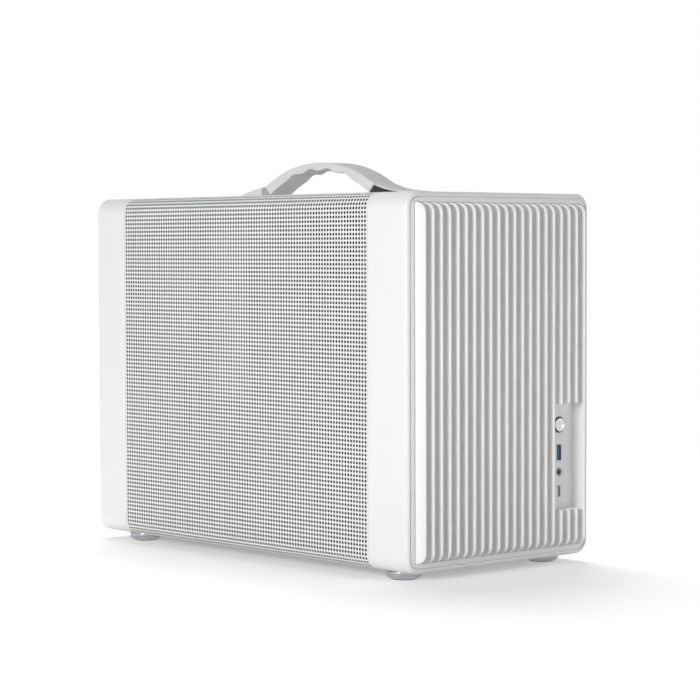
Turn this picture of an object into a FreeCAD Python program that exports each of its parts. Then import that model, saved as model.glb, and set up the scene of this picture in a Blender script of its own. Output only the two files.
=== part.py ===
"""Micro-ATX computer case: fluted front, perforated sides, carry strap, bright round feet.

Frame: +Z up, front towards -Y, origin under the middle of the case on the floor. Millimetres.
"""
import FreeCAD
import Part
import math
import os
import re
import Sketcher

# Driving dimensions: one row each, alias and value
SIZES = (
    ("body_width", 200.0),
    ("body_depth", 392.0),
    ("body_height", 288.0),
    ("corner_radius", 12.0),
    ("skin", 2.5),
    ("steel", 1.0),
    ("seam", 0.4),
    ("fit_gap", 0.3),
    ("overrun", 1.0),
    ("front_cap_depth", 43.0),
    ("rear_cap_depth", 39.5),
    ("edge_round", 3.0),
    ("ring_width", 3.4),
    ("groove_width", 1.2),
    ("groove_depth", 1.6),
    ("grille_margin", 8.0),
    ("rib_count", 21.0),
    ("rib_proud", 8.0),
    ("crest_land", 1.7),
    ("flute_sink", 1.0),
    ("flute_root", 1.6),
    ("grille_flange", 1.5),
    ("flange_lap", 3.0),
    ("recess_low", 38.0),
    ("recess_high", 122.0),
    ("recess_ribs", 3.0),
    ("io_wall", 2.0),
    ("io_lap", 3.0),
    ("io_post", 2.5),
    ("io_post_inset", 4.0),
    ("board_thick", 1.6),
    ("board_half", 13.0),
    ("switch_side", 6.0),
    ("stem_radius", 2.0),
    ("stem_long", 2.0),
    ("button_flange", 1.2),
    ("port_wall", 0.5),
    ("tongue_thick", 1.6),
    ("button_radius", 6.2),
    ("button_height", 104.5),
    ("button_travel", 1.2),
    ("button_proud", 1.6),
    ("usb_a_height", 82.3),
    ("usb_a_long", 13.2),
    ("usb_a_short", 5.8),
    ("jack_height", 66.8),
    ("jack_bore", 1.8),
    ("jack_collar", 3.0),
    ("usb_c_height", 51.3),
    ("usb_c_long", 8.9),
    ("usb_c_short", 3.3),
    ("port_depth", 12.0),
    ("wrap_flange", 14.0),
    ("slit_height", 2.0),
    ("slit_pitch", 6.6),
    ("slit_columns", 3.0),
    ("slit_web", 5.0),
    ("rear_inset", 8.0),
    ("rear_lip", 3.0),
    ("frame_inset", 9.0),
    ("flange_gap", 8.0),
    ("flange_reach", 7.0),
    ("stud_radius", 2.0),
    ("stud_long", 7.0),
    ("stud_height", 32.0),
    ("clip_side", 9.0),
    ("tray_place", 30.0),
    ("board_standoff", 6.5),
    ("board_side", 243.84),
    ("board_low", 22.0),
    ("board_edge_gap", 1.0),
    ("hole_from_rear", 10.16),
    ("hole_from_top", 6.35),
    ("hole_step_deep", 154.94),
    ("hole_far_deep", 227.33),
    ("hole_step_tall", 157.48),
    ("hole_far_tall", 203.2),
    ("standoff_bore", 1.5),
    ("cpu_window", 110.0),
    ("standoff_radius", 3.0),
    ("io_open_tall", 158.75),
    ("io_open_wide", 44.45),
    ("slot_pitch", 20.32),
    ("slot_count", 4.0),
    ("slot_tall", 14.0),
    ("slot_long", 98.0),
    ("slot_low", 12.0),
    ("slot_lap", 8.0),
    ("slot_set_back", 2.0),
    ("cover_tall", 18.4),
    ("retainer_reach", 8.0),
    ("fan_side", 92.0),
    ("fan_place", -38.0),
    ("fan_height", 203.0),
    ("fan_slot", 4.6),
    ("fan_slot_count", 9.0),
    ("fan_screw_pitch", 82.5),
    ("fan_screw_radius", 2.15),
    ("psu_wide", 150.0),
    ("psu_tall", 140.0),
    ("psu_deep", 86.0),
    ("psu_hole_wide", 138.0),
    ("psu_hole_deep", 64.0),
    ("psu_hole_short", 114.0),
    ("psu_window_edge", 14.0),
    ("bracket_toe", 8.0),
    ("window_edge", 30.0),
    ("cross_bar_low", 153.0),
    ("cross_bar_tall", 20.0),
    ("drive_wide", 100.0),
    ("drive_stand", 10.0),
    ("drive_hole_wide", 76.6),
    ("drive_hole_tall", 61.7),
    ("inlet_wide", 27.4),
    ("inlet_tall", 19.8),
    ("inlet_lug_pitch", 40.0),
    ("inlet_place", 34.0),
    ("inlet_gap", 2.0),
    ("inlet_plate_wide", 50.0),
    ("inlet_plate_tall", 23.0),
    ("inlet_plate_thick", 2.0),
    ("inlet_deep", 22.0),
    ("inlet_wall", 2.2),
    ("pin_wide", 2.0),
    ("pin_tall", 4.0),
    ("pin_pitch", 7.0),
    ("handle_width", 24.0),
    ("handle_span", 136.0),
    ("handle_rise", 28.5),
    ("handle_shoulder", 10.3),
    ("handle_leaf", 31.0),
    ("leaf_sag", 1.1),
    ("leaf_foot", 5.0),
    ("leaf_thick", 1.5),
    ("lip_long", 19.0),
    ("lip_thick", 3.9),
    ("lip_tip", 2.4),
    ("notch_wide", 5.5),
    ("ramp_long", 25.0),
    ("ramp_drop", 0.8),
    ("ramp_low", 4.2),
    ("flex_count", 3.0),
    ("flex_pitch", 3.4),
    ("flex_place", 55.6),
    ("flex_radius", 1.5),
    ("flex_depth", 0.5),
    ("core_inset", 1.0),
    ("core_gap", 0.6),
    ("fixing_plate", 16.0),
    ("grip_thick", 7.0),
    ("grip_end_clear", 2.6),
    ("grip_end_slope", 7.0),
    ("finger_count", 4.0),
    ("finger_pitch", 21.3),
    ("finger_dent", 1.1),
    ("handle_screw_pitch", 14.0),
    ("plate_thick", 2.0),
    ("screw_bite", 1.2),
    ("handle_place", 9.0),
    ("foot_height", 7.0),
    ("foot_radius", 14.0),
    ("foot_chamfer", 2.0),
    ("foot_inset", 24.0),
    ("front_foot_inset", 29.0),
    ("rear_foot_inset", 36.0),
    ("pad_thick", 1.5),
    ("pad_show", 0.7),
    ("pad_radius", 10.0),
    ("foot_boss", 3.4),
    ("boss_radius", 4.0),
    ("boss_tall", 5.0),
    ("screw_radius", 1.5),
    ("screw_head", 3.0),
    ("screw_head_tall", 1.6),
)

doc = FreeCAD.newDocument("MicroAtxCase")
sheet = doc.addObject("Spreadsheet::Sheet", "Dims")
for row, (alias, value) in enumerate(SIZES, 1):
    sheet.set(f"A{row}", alias)
    sheet.set(f"B{row}", str(value))
    sheet.setAlias(f"B{row}", alias)
doc.recompute()


def size(alias):
    """Return the number that the sheet holds under this alias."""
    return float(sheet.get(alias))


# Reference planes as sheet expressions, and the same places as numbers
LEFT = "(-body_width/2)"
RIGHT = "(body_width/2)"
FRONT = "(rib_proud/2-body_depth/2)"
REAR = "(rib_proud/2+body_depth/2)"
BASE = "foot_height"
TOP = "(foot_height+body_height)"
front_y = size("rib_proud") / 2 - size("body_depth") / 2
rear_y = size("rib_proud") / 2 + size("body_depth") / 2
base_z = size("foot_height")
top_z = size("foot_height") + size("body_height")
half_w = size("body_width") / 2
PANEL_FRONT = f"({FRONT}+front_cap_depth+seam)"
PANEL_REAR = f"({REAR}-rear_cap_depth-seam)"
ZONE_HALF = "(body_width/2-grille_margin)"
zone_half = half_w - size("grille_margin")
rib_pitch = 2 * zone_half / size("rib_count")
RIB_PITCH = f"(2*{ZONE_HALF}/rib_count)"
# The recess lies between the last rib but four and the last rib
RECESS_RIGHT = f"({ZONE_HALF}-{RIB_PITCH}/2-crest_land/2)"
RECESS_LEFT = f"({RECESS_RIGHT}-(recess_ribs+1)*{RIB_PITCH}+crest_land)"
RECESS_MID = f"(({RECESS_LEFT}+{RECESS_RIGHT})/2)"
RECESS_FLOOR = f"({FRONT}+skin+grille_flange)"
RECESS_Z = (f"{BASE}+recess_low", f"{BASE}+recess_high")
IO_BACK = f"({RECESS_FLOOR}+io_wall)"
BOARD_FRONT = f"({RECESS_FLOOR}+port_depth)"
# Feet stand in from the sides and from the front and rear faces
FOOT_X = {"left": f"({LEFT}+foot_inset)", "right": f"({RIGHT}-foot_inset)"}
FOOT_Y = {"front": f"({FRONT}+front_foot_inset)", "rear": f"({REAR}-rear_foot_inset)"}
SCREW_HOLE = "(screw_radius+fit_gap)"
# Steel chassis: sheets lie against the inside of the moulded caps
FLOOR_LOW = f"({BASE}+skin-steel)"
FLOOR_TOP = f"({BASE}+skin)"
ROOF_LOW = f"({TOP}-skin)"
FRAME_FRONT = f"({FRONT}+front_cap_depth-frame_inset)"
FRAME_BACK = f"({FRAME_FRONT}+steel)"
BACK_OUT = f"({REAR}-rear_inset)"
BACK_IN = f"({BACK_OUT}-steel)"
FLANGE_OUT = "(body_width/2-skin-flange_gap)"
FLANGE_IN = f"({FLANGE_OUT}-steel)"
STRIP_HALF = "(body_width/2-corner_radius-wrap_flange-seam)"
# The tray stands in from the right side, and the folds end short of it
TRAY_X = f"({RIGHT}-tray_place)"
BOARD_FACE = f"({TRAY_X}-board_standoff)"
FOLD_HALF = f"({TRAY_X}-2*steel)"
BOARD_REAR = f"({BACK_IN}-board_edge_gap)"
BOARD_HIGH = f"({BASE}+board_low+board_side)"
SLOT_RIGHT = f"({BOARD_FACE}-slot_set_back)"
SLOT_LEFT = f"({SLOT_RIGHT}-slot_long)"
SLOT_MID = f"({BASE}+board_low+slot_low)"
RETAINER_LOW = f"({SLOT_MID}-cover_tall/2)"
RETAINER_HIGH = f"({SLOT_MID}+(slot_count-1)*slot_pitch+cover_tall/2)"
RETAINER_X = f"({SLOT_LEFT}-slot_lap/2)"
RETAINER_SCREW_Z = {
    "low": f"({RETAINER_LOW}-retainer_reach/2)",
    "high": f"({RETAINER_HIGH}+retainer_reach/2)",
}
INLET_X = f"({LEFT}+inlet_place)"
# The inlet sits over the card slots' retainer
INLET_Z = f"({RETAINER_HIGH}+retainer_reach+inlet_gap+inlet_plate_tall/2)"
INLET_SCREW_X = {
    "left": f"({INLET_X}-inlet_lug_pitch/2)",
    "right": f"({INLET_X}+inlet_lug_pitch/2)",
}
PSU_FRONT = f"({PANEL_FRONT}+flange_reach+fit_gap)"
# Corner names with the signs of their two directions
CORNERS = {"low_left": "--", "low_right": "+-", "high_left": "-+", "high_right": "++"}
# Handle: its fixings in the front lip and in the rear ramp, two screws at each
HANDLE_FIXING = {
    "front": "(handle_place-handle_span/2-handle_leaf-(leaf_foot+lip_long)/2)",
    "rear": "(handle_place+handle_span/2+notch_wide+ramp_long/2)",
}
HANDLE_SCREWS = {
    f"{end}_{side}": (f"({turn}handle_screw_pitch/2)", middle)
    for end, middle in HANDLE_FIXING.items()
    for side, turn in (("left", "-"), ("right", "0+"))
}


def bound(text):
    """Turn plain size names in an expression into references to the sheet."""
    return re.sub(r"[a-z_]+", lambda found: "Dims." + found.group(0), text)


def new_body(label):
    """Start a sub-part; its label names its file."""
    body = doc.addObject("PartDesign::Body", label)
    body.Label = label
    return body


def span_box(body, kind, name, x_range, y_range, z_range):
    """Add to or cut from a body the box between three pairs of expressions."""
    feature = body.newObject(f"PartDesign::{kind}Box", name)
    for edge, place, (low, high) in zip(
        ("Length", "Width", "Height"), "xyz", (x_range, y_range, z_range)
    ):
        feature.setExpression(edge, bound(f"({high})-({low})"))
        feature.setExpression(f"Placement.Base.{place}", bound(low))
    return feature


def add_box(body, name, x_range, y_range, z_range):
    """Add a box to a body."""
    return span_box(body, "Additive", name, x_range, y_range, z_range)


def cut_box(body, name, x_range, y_range, z_range):
    """Cut a box from a body."""
    return span_box(body, "Subtractive", name, x_range, y_range, z_range)


TURNS = {
    "x": FreeCAD.Rotation(FreeCAD.Vector(0, 1, 0), 90),
    "y": FreeCAD.Rotation(FreeCAD.Vector(1, 0, 0), -90),
    "z": FreeCAD.Rotation(),
}


def span_cylinder(body, kind, name, axis, start, radius, length):
    """Add or cut a cylinder that starts at three expressions and runs along an axis."""
    feature = body.newObject(f"PartDesign::{kind}Cylinder", name)
    feature.Placement = FreeCAD.Placement(FreeCAD.Vector(), TURNS[axis])
    feature.setExpression("Radius", bound(radius))
    feature.setExpression("Height", bound(length))
    for place, text in zip("xyz", start):
        feature.setExpression(f"Placement.Base.{place}", bound(text))
    return feature


def drill(body, name, axis, start, radius, depth):
    """Drill a hole right through a wall; it starts one overrun before the wall."""
    return span_cylinder(body, "Subtractive", name, axis, start, radius, f"{depth}+2*overrun")


def repeat(body, name, originals, axis, length, count):
    """Repeat features along an axis of the body."""
    pattern = body.newObject("PartDesign::LinearPattern", name)
    pattern.Originals = originals
    direction = [f for f in body.Origin.OriginFeatures if f.Role == f"{axis.upper()}_Axis"][0]
    pattern.Direction = (direction, [""])
    pattern.setExpression("Length", bound(length))
    pattern.Occurrences = count
    body.Tip = pattern
    return pattern


def round_edges(body, name, radius, chosen):
    """Round the edges of a body's last shape that a test picks."""
    doc.recompute()
    base = body.Tip
    names = [f"Edge{n}" for n, edge in enumerate(base.Shape.Edges, 1) if chosen(edge)]
    fillet = body.newObject("PartDesign::Fillet", name)
    fillet.Base = (base, names)
    fillet.setExpression("Radius", bound(radius))
    body.Tip = fillet
    doc.recompute()
    return fillet


def along(axis, longer_than):
    """Return a test for straight edges that run along an axis."""
    unit = {"x": 0, "y": 1, "z": 2}[axis]

    def test(edge):
        if edge.Curve.TypeId != "Part::GeomLine" or edge.Length < longer_than:
            return False
        return abs(abs(edge.tangentAt(edge.FirstParameter)[unit]) - 1) < 1e-6

    return test


def keep_shape(label, shape):
    """Hold a shape made by formula as a sub-part of the document."""
    feature = doc.addObject("Part::Feature", label)
    feature.Label = label
    feature.Shape = shape
    return feature


def ring_lines(sketch, half_x, half_y, radius, name):
    """Draw a rounded rectangle about the sketch origin, its sizes bound to the sheet."""
    start = sketch.GeometryCount
    # Rough start, which the constraints below then set
    across, up, bend = 50.0, 80.0, 5.0
    flat_x, flat_y = across - bend, up - bend
    point = FreeCAD.Vector
    lines = (
        (point(-flat_x, -up), point(flat_x, -up)),
        (point(across, -flat_y), point(across, flat_y)),
        (point(flat_x, up), point(-flat_x, up)),
        (point(-across, flat_y), point(-across, -flat_y)),
    )
    for first, second in lines:
        sketch.addGeometry(Part.LineSegment(first, second))
    quarter = math.pi / 2
    centres = ((flat_x, -flat_y), (flat_x, flat_y), (-flat_x, flat_y), (-flat_x, -flat_y))
    for turn, (centre_x, centre_y) in enumerate(centres):
        circle = Part.Circle(point(centre_x, centre_y), point(0, 0, 1), bend)
        sketch.addGeometry(Part.ArcOfCircle(circle, (turn - 1) * quarter, turn * quarter))
    for side in range(4):
        arc = start + 4 + side
        sketch.addConstraint(Sketcher.Constraint("Tangent", start + side, 2, arc, 1))
        sketch.addConstraint(Sketcher.Constraint("Tangent", arc, 2, start + (side + 1) % 4, 1))
    for side, kind in enumerate(("Horizontal", "Vertical", "Horizontal", "Vertical")):
        sketch.addConstraint(Sketcher.Constraint(kind, start + side))
    for arc in (5, 6, 7):
        sketch.addConstraint(Sketcher.Constraint("Equal", start + 4, start + arc))
    sketch.addConstraint(Sketcher.Constraint("Symmetric", start + 4, 3, start + 6, 3, -1, 1))
    named = (
        ("wide", Sketcher.Constraint("DistanceX", start + 3, 1, start + 1, 1, 2 * across), f"2*({half_x})"),
        ("tall", Sketcher.Constraint("DistanceY", start, 1, start + 2, 1, 2 * up), f"2*({half_y})"),
        ("bend", Sketcher.Constraint("Radius", start + 4, bend), radius),
    )
    for word, constraint, expression in named:
        index = sketch.addConstraint(constraint)
        sketch.renameConstraint(index, f"{name}_{word}")
        sketch.setExpression(f"Constraints.{name}_{word}", bound(expression))


def front_sketch(body, name, place_y, rings):
    """Sketch rounded rectangles across the case, seen from the front, at one depth."""
    sketch = body.newObject("Sketcher::SketchObject", name)
    plane = [f for f in body.Origin.OriginFeatures if f.Role == "XZ_Plane"][0]
    sketch.AttachmentSupport = [(plane, "")]
    sketch.MapMode = "FlatFace"
    sketch.setExpression("AttachmentOffset.Base.y", bound(f"({BASE}+{TOP})/2"))
    sketch.setExpression("AttachmentOffset.Base.z", bound(f"-({place_y})"))
    for number, (half_x, half_y, radius) in enumerate(rings):
        ring_lines(sketch, half_x, half_y, radius, f"ring_{'ab'[number]}")
    doc.recompute()
    return sketch


def pad_back(body, name, place_y, rings, length):
    """Pad rounded rectangles towards the rear."""
    pad = body.newObject("PartDesign::Pad", name)
    pad.Profile = front_sketch(body, name + "_outline", place_y, rings)
    pad.setExpression("Length", bound(length))
    pad.Reversed = True
    doc.recompute()
    return pad


def pocket_back(body, name, place_y, rings, length):
    """Cut rounded rectangles towards the rear, and see that something was cut."""
    before = body.Shape.Volume
    pocket = body.newObject("PartDesign::Pocket", name)
    pocket.Profile = front_sketch(body, name + "_outline", place_y, rings)
    pocket.setExpression("Length", bound(length))
    doc.recompute()
    assert body.Shape.Volume < before, name
    return pocket


def outer_ring(inset):
    """Return the case's section, drawn in by an inset."""
    return (f"body_width/2-{inset}", f"body_height/2-{inset}", f"corner_radius-{inset}")


def on_plane_y(place):
    """Return a test for edges that lie in one plane across the case."""

    def test(edge):
        box = edge.BoundBox
        return abs(box.YMin - place) < 1e-4 and abs(box.YMax - place) < 1e-4

    return test


def foot_boss(body, side, place_x, place_y):
    """Add a boss inside a cap for a foot's screw, and drill it through the cap's floor."""
    start = (place_x, place_y, FLOOR_TOP)
    span_cylinder(body, "Additive", f"foot_boss_{side}", "z", start, "boss_radius", "boss_tall")
    below = (place_x, place_y, f"{BASE}-overrun")
    drill(body, f"foot_hole_{side}", "z", below, SCREW_HOLE, "skin+boss_tall")


def make_front_bezel():
    """Deep moulded front cap: rounded edge, ring, groove and the flat frame round the grille."""
    body = new_body("front_bezel")
    pad_back(body, "cap", FRONT, [outer_ring("0")], "front_cap_depth")
    round_edges(body, "front_edge", "edge_round", on_plane_y(front_y))
    pocket_back(body, "hollow", f"{FRONT}+skin", [outer_ring("skin")], "front_cap_depth-skin")
    window = (ZONE_HALF, "body_height/2-grille_margin", "fit_gap")
    pocket_back(body, "window", FRONT, [window], "skin")
    groove = [outer_ring("ring_width"), outer_ring("(ring_width+groove_width)")]
    pocket_back(body, "ring_groove", FRONT, groove, "groove_depth")
    for side, place_x in FOOT_X.items():
        foot_boss(body, side, place_x, FOOT_Y["front"])
    return body


def make_front_grille():
    """Fluted insert: upright ribs with rounded ends, round-bottomed flutes between, rear flange."""
    body = new_body("front_grille")
    crest = f"({FRONT}-rib_proud)"
    back = RECESS_FLOOR
    wide = f"({ZONE_HALF}-fit_gap)"
    low, high = f"{BASE}+grille_margin+fit_gap", f"{TOP}-grille_margin-fit_gap"
    add_box(body, "block", (f"-{wide}", wide), (crest, back), (low, high))
    crest_y = front_y - size("rib_proud")

    def crest_ends(edge):
        return on_plane_y(crest_y)(edge) and edge.BoundBox.XLength > zone_half

    round_edges(body, "rib_ends", "rib_proud", crest_ends)
    flange_x = (f"-{wide}-flange_lap", f"{wide}+flange_lap")
    flange_z = (f"{low}-flange_lap", f"{high}+flange_lap")
    add_box(body, "flange", flange_x, (f"{FRONT}+skin", back), flange_z)
    flute = flute_sketch(body, crest)
    doc.recompute()
    before = body.Shape.Volume
    pocket = body.newObject("PartDesign::Pocket", "flute")
    pocket.Profile = flute
    pocket.Type = "Length"
    pocket.setExpression("Length", bound("body_height+foot_height"))
    pocket.Reversed = True
    doc.recompute()
    repeat(body, "flutes", [pocket], "x", f"2*{ZONE_HALF}", int(size("rib_count")) + 1)
    doc.recompute()
    assert body.Shape.Volume < before, "flutes"
    recess_x = (RECESS_LEFT, RECESS_RIGHT)
    cut_box(body, "recess", recess_x, (f"{crest}-overrun", f"{back}+overrun"), RECESS_Z)
    return body


def flute_sketch(body, crest):
    """Flute section, seen from above: two flanks square to the crests and a round root between them."""
    sketch = body.newObject("Sketcher::SketchObject", "flute_outline")
    plane = [f for f in body.Origin.OriginFeatures if f.Role == "XY_Plane"][0]
    sketch.AttachmentSupport = [(plane, "")]
    sketch.MapMode = "FlatFace"
    sketch.setExpression("AttachmentOffset.Base.x", bound(f"-{ZONE_HALF}"))
    sketch.setExpression("AttachmentOffset.Base.y", bound(crest))
    point = FreeCAD.Vector
    # Rough start, which the constraints below then set
    half, deep, root, flank = 3.5, 9.0, 1.6, 16.5
    turn = math.atan2(deep - root, flank - half)

    def arc(centre_x, centre_y, radius, first, last):
        circle = Part.Circle(point(centre_x, centre_y), point(0, 0, 1), radius)
        return sketch.addGeometry(Part.ArcOfCircle(circle, first, last))

    right = arc(half - flank, 0, flank, 0, turn)
    floor = arc(0, deep - root, root, turn, math.pi - turn)
    left = arc(flank - half, 0, flank, math.pi - turn, math.pi)
    mouth = sketch.addGeometry(Part.LineSegment(point(-half, 0), point(half, 0)))
    for constraint in (
        ("Tangent", right, 2, floor, 1),
        ("Tangent", floor, 2, left, 1),
        ("Coincident", mouth, 1, left, 2),
        ("Coincident", mouth, 2, right, 1),
        ("Horizontal", mouth),
        ("Symmetric", mouth, 1, mouth, 2, -1, 1),
        ("PointOnObject", right, 3, -1),
        ("PointOnObject", left, 3, -1),
        ("PointOnObject", floor, 3, -2),
    ):
        sketch.addConstraint(Sketcher.Constraint(*constraint))
    for name, constraint, length in (
        ("flute_wide", ("DistanceX", mouth, 1, mouth, 2, 2 * half), f"{RIB_PITCH}-crest_land"),
        ("flute_root", ("Radius", floor, root), "flute_root"),
        ("flute_deep", ("DistanceY", -1, 1, floor, 3, deep - root), "rib_proud+flute_sink-flute_root"),
    ):
        index = sketch.addConstraint(Sketcher.Constraint(*constraint))
        sketch.renameConstraint(index, name)
        sketch.setExpression(f"Constraints.{name}", bound(length))
    return sketch


def port_z(height, long):
    """Return the upright range of a port about its height above the body's underside."""
    return (f"{BASE}+{height}-({long})/2", f"{BASE}+{height}+({long})/2")


def port_x(short):
    """Return the width range of a port about the middle of the recess."""
    return (f"{RECESS_MID}-({short})/2", f"{RECESS_MID}+({short})/2")


def make_io_panel():
    """Plate that closes the recess behind the grille, with port cut-outs and two board posts."""
    body = new_body("io_panel")
    plate_x = (f"{RECESS_LEFT}-io_lap", f"{RECESS_RIGHT}+io_lap")
    plate_z = (f"{RECESS_Z[0]}-io_lap", f"{RECESS_Z[1]}+io_lap")
    add_box(body, "plate", plate_x, (RECESS_FLOOR, IO_BACK), plate_z)
    for name, height in (
        ("low_post", f"{RECESS_Z[0]}+io_post_inset"),
        ("high_post", f"{RECESS_Z[1]}-io_post_inset"),
    ):
        start = (RECESS_MID, RECESS_FLOOR, height)
        span_cylinder(body, "Additive", name, "y", start, "io_post", "port_depth")
    through = (f"{RECESS_FLOOR}-overrun", f"{IO_BACK}+overrun")
    for name, height, long, short in (
        ("usb_a_hole", "usb_a_height", "usb_a_long+2*fit_gap", "usb_a_short+2*fit_gap"),
        ("usb_c_hole", "usb_c_height", "usb_c_long+2*fit_gap", "usb_c_short+2*fit_gap"),
    ):
        cut_box(body, name, port_x(short), through, port_z(height, long))
    for name, height, radius in (
        ("button_hole", "button_height", "button_radius+fit_gap"),
        ("jack_hole", "jack_height", "jack_collar+fit_gap"),
    ):
        start = (RECESS_MID, through[0], f"{BASE}+{height}")
        drill(body, name, "y", start, radius, "io_wall")
    return body


def make_power_button():
    """Round push button: domed-edge cap, retaining flange behind the plate, stem to the switch."""
    body = new_body("power_button")
    height = f"{BASE}+button_height"
    for name, place, radius, length in (
        ("cap", f"{RECESS_FLOOR}-button_proud", "button_radius", "button_proud+io_wall+button_flange"),
        ("flange", IO_BACK, "button_radius+button_flange", "button_flange"),
        ("stem", f"{IO_BACK}+button_flange", "stem_radius", "stem_long"),
    ):
        span_cylinder(body, "Additive", name, "y", (RECESS_MID, place, height), radius, length)
    cap_y = front_y + size("skin") + size("grille_flange") - size("button_proud")
    round_edges(body, "cap_edge", "button_proud/2", on_plane_y(cap_y))
    return body


def make_power_switch():
    """Small switch on the board, one stroke behind the button's stem."""
    body = new_body("power_switch")
    front = f"{IO_BACK}+button_flange+stem_long+button_travel+fit_gap"
    upright = port_z("button_height", "switch_side")
    add_box(body, "case", port_x("switch_side"), (front, BOARD_FRONT), upright)
    return body


def make_io_board():
    """Circuit board that carries the ports and the switch, held on the plate's posts."""
    body = new_body("io_board")
    add_box(body, "board", port_x("2*board_half"), (BOARD_FRONT, f"{BOARD_FRONT}+board_thick"), RECESS_Z)
    return body


# Room beside each port's tongue, where the plug's shell goes
TONGUE_GAPS = {"usb_a_port": "tongue_thick", "usb_c_port": "(tongue_thick/2)"}


def make_usb_port(label, height, long, short, bend):
    """Metal port shell with its tongue, flush with the recess floor."""
    body = new_body(label)
    add_box(body, "shell", port_x(short), (RECESS_FLOOR, BOARD_FRONT), port_z(height, long))
    if bend:
        round_edges(body, "shell_bend", bend, along("y", size("port_depth") / 2))
    cavity = (f"{RECESS_FLOOR}-overrun", f"{BOARD_FRONT}-2*port_wall")
    inside_z = port_z(height, f"{long}-2*port_wall")
    cut_box(body, "cavity", port_x(f"{short}-2*port_wall"), cavity, inside_z)
    tongue_y = (f"{RECESS_FLOOR}+port_wall", f"{BOARD_FRONT}-port_wall")
    tongue_x = port_x(f"{short}-2*port_wall-2*{TONGUE_GAPS[label]}")
    add_box(body, "tongue", tongue_x, tongue_y, port_z(height, f"{long}-4*port_wall"))
    return body


def make_audio_jack():
    """Round audio socket with its collar in the plate."""
    body = new_body("audio_jack")
    start = (RECESS_MID, RECESS_FLOOR, f"{BASE}+jack_height")
    span_cylinder(body, "Additive", "collar", "y", start, "jack_collar", "port_depth")
    mouth = (RECESS_MID, f"{RECESS_FLOOR}-overrun", f"{BASE}+jack_height")
    span_cylinder(body, "Subtractive", "bore", "y", mouth, "jack_bore", "port_depth")
    return body


def make_rear_bezel():
    """Moulded rear cap, open behind, with an inward lip round the recessed rear panel."""
    body = new_body("rear_bezel")
    cap_front = f"({REAR}-rear_cap_depth)"
    pad_back(body, "cap", cap_front, [outer_ring("0")], "rear_cap_depth")
    round_edges(body, "rear_edge", "edge_round", on_plane_y(rear_y))
    pocket_back(body, "hollow", cap_front, [outer_ring("skin")], "rear_cap_depth-skin")
    pocket_back(body, "mouth", cap_front, [outer_ring("(skin+rear_lip)")], "rear_cap_depth")
    for side, place_x in FOOT_X.items():
        foot_boss(body, side, place_x, FOOT_Y["rear"])
    return body


def make_side_panel(label, outward):
    """Perforated sheet panel that wraps the top and bottom bends; outward is -1 left, 1 right."""
    body = new_body(label)
    length = f"{PANEL_REAR}-{PANEL_FRONT}"
    pad_back(body, "wrap", PANEL_FRONT, [outer_ring("0")], length)
    pocket_back(body, "inside", PANEL_FRONT, [outer_ring("steel")], length)
    keep = "(body_width/2-corner_radius-wrap_flange)"
    away = (f"-{keep}", f"{RIGHT}+overrun") if outward < 0 else (f"{LEFT}-overrun", keep)
    ends = (f"{PANEL_FRONT}-overrun", f"{PANEL_REAR}+overrun")
    cut_box(body, "open_side", away, ends, (f"{BASE}-overrun", f"{TOP}+overrun"))
    columns = int(size("slit_columns"))
    slit_long = f"(({length}-(slit_columns+1)*slit_web)/slit_columns)"
    outer = LEFT if outward < 0 else RIGHT
    wall = (f"{outer}-steel-overrun", f"{outer}+steel+overrun")
    flat = size("body_height") - 2 * size("corner_radius")
    rows = int((flat - size("slit_height")) / size("slit_pitch")) + 1
    low = f"({BASE}+body_height/2-{rows - 1}*slit_pitch/2-slit_height/2)"
    slits = []
    for column in range(columns):
        front = f"({PANEL_FRONT}+slit_web+{column}*({slit_long}+slit_web))"
        slit_y = (front, f"{front}+{slit_long}")
        slits.append(cut_box(body, f"slit_{column}", wall, slit_y, (low, f"{low}+slit_height")))
    doc.recompute()
    before = body.Shape.Volume
    repeat(body, "perforation", slits, "z", f"{rows - 1}*slit_pitch", rows)
    doc.recompute()
    assert body.Shape.Volume < before, label
    return body


# Snap points of the side panels: close to the front and rear edges, low and high
SNAP_Y = (f"({PANEL_FRONT}+slit_web/2)", f"({PANEL_REAR}-slit_web/2)")
SNAP_Z = (f"({BASE}+stud_height)", f"({TOP}-stud_height)")


def make_panel_studs(label, outward):
    """Four round studs on the inside of a side panel."""
    body_list = []
    for number, (place_y, place_z) in enumerate((y, z) for y in SNAP_Y for z in SNAP_Z):
        stud = doc.addObject("Part::Cylinder", f"{label}_{'abcd'[number]}")
        stud.Placement = FreeCAD.Placement(FreeCAD.Vector(), TURNS["x"])
        stud.setExpression("Radius", bound("stud_radius"))
        stud.setExpression("Height", bound("stud_long"))
        inner = f"{LEFT}+steel" if outward < 0 else f"{RIGHT}-steel-stud_long"
        for axis, text in zip("xyz", (inner, place_y, place_z)):
            stud.setExpression(f"Placement.Base.{axis}", bound(text))
        body_list.append(stud)
    return gather(label, body_list)


def gather(label, shapes):
    """Hold separate like pieces as one group."""
    group = doc.addObject("Part::Compound", label)
    group.Label = label
    group.Links = shapes
    return group


def make_panel_clips(label, outward):
    """Four sockets on the chassis flanges that take a panel's studs."""
    clips = []
    for number, (place_y, place_z) in enumerate((y, z) for y in SNAP_Y for z in SNAP_Z):
        body = new_body(f"{label}_{'abcd'[number]}")
        near = f"{LEFT}+skin+fit_gap" if outward < 0 else FLANGE_OUT
        far = f"-{FLANGE_OUT}" if outward < 0 else f"{RIGHT}-skin-fit_gap"
        square_y = (f"{place_y}-clip_side/2", f"{place_y}+clip_side/2")
        square_z = (f"{place_z}-clip_side/2", f"{place_z}+clip_side/2")
        add_box(body, "block", (near, far), square_y, square_z)
        bore = (f"{near}-overrun", place_y, place_z)
        drill(body, "bore", "x", bore, "stud_radius+fit_gap", "flange_gap")
        clips.append(body)
    return gather(label, clips)


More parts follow.
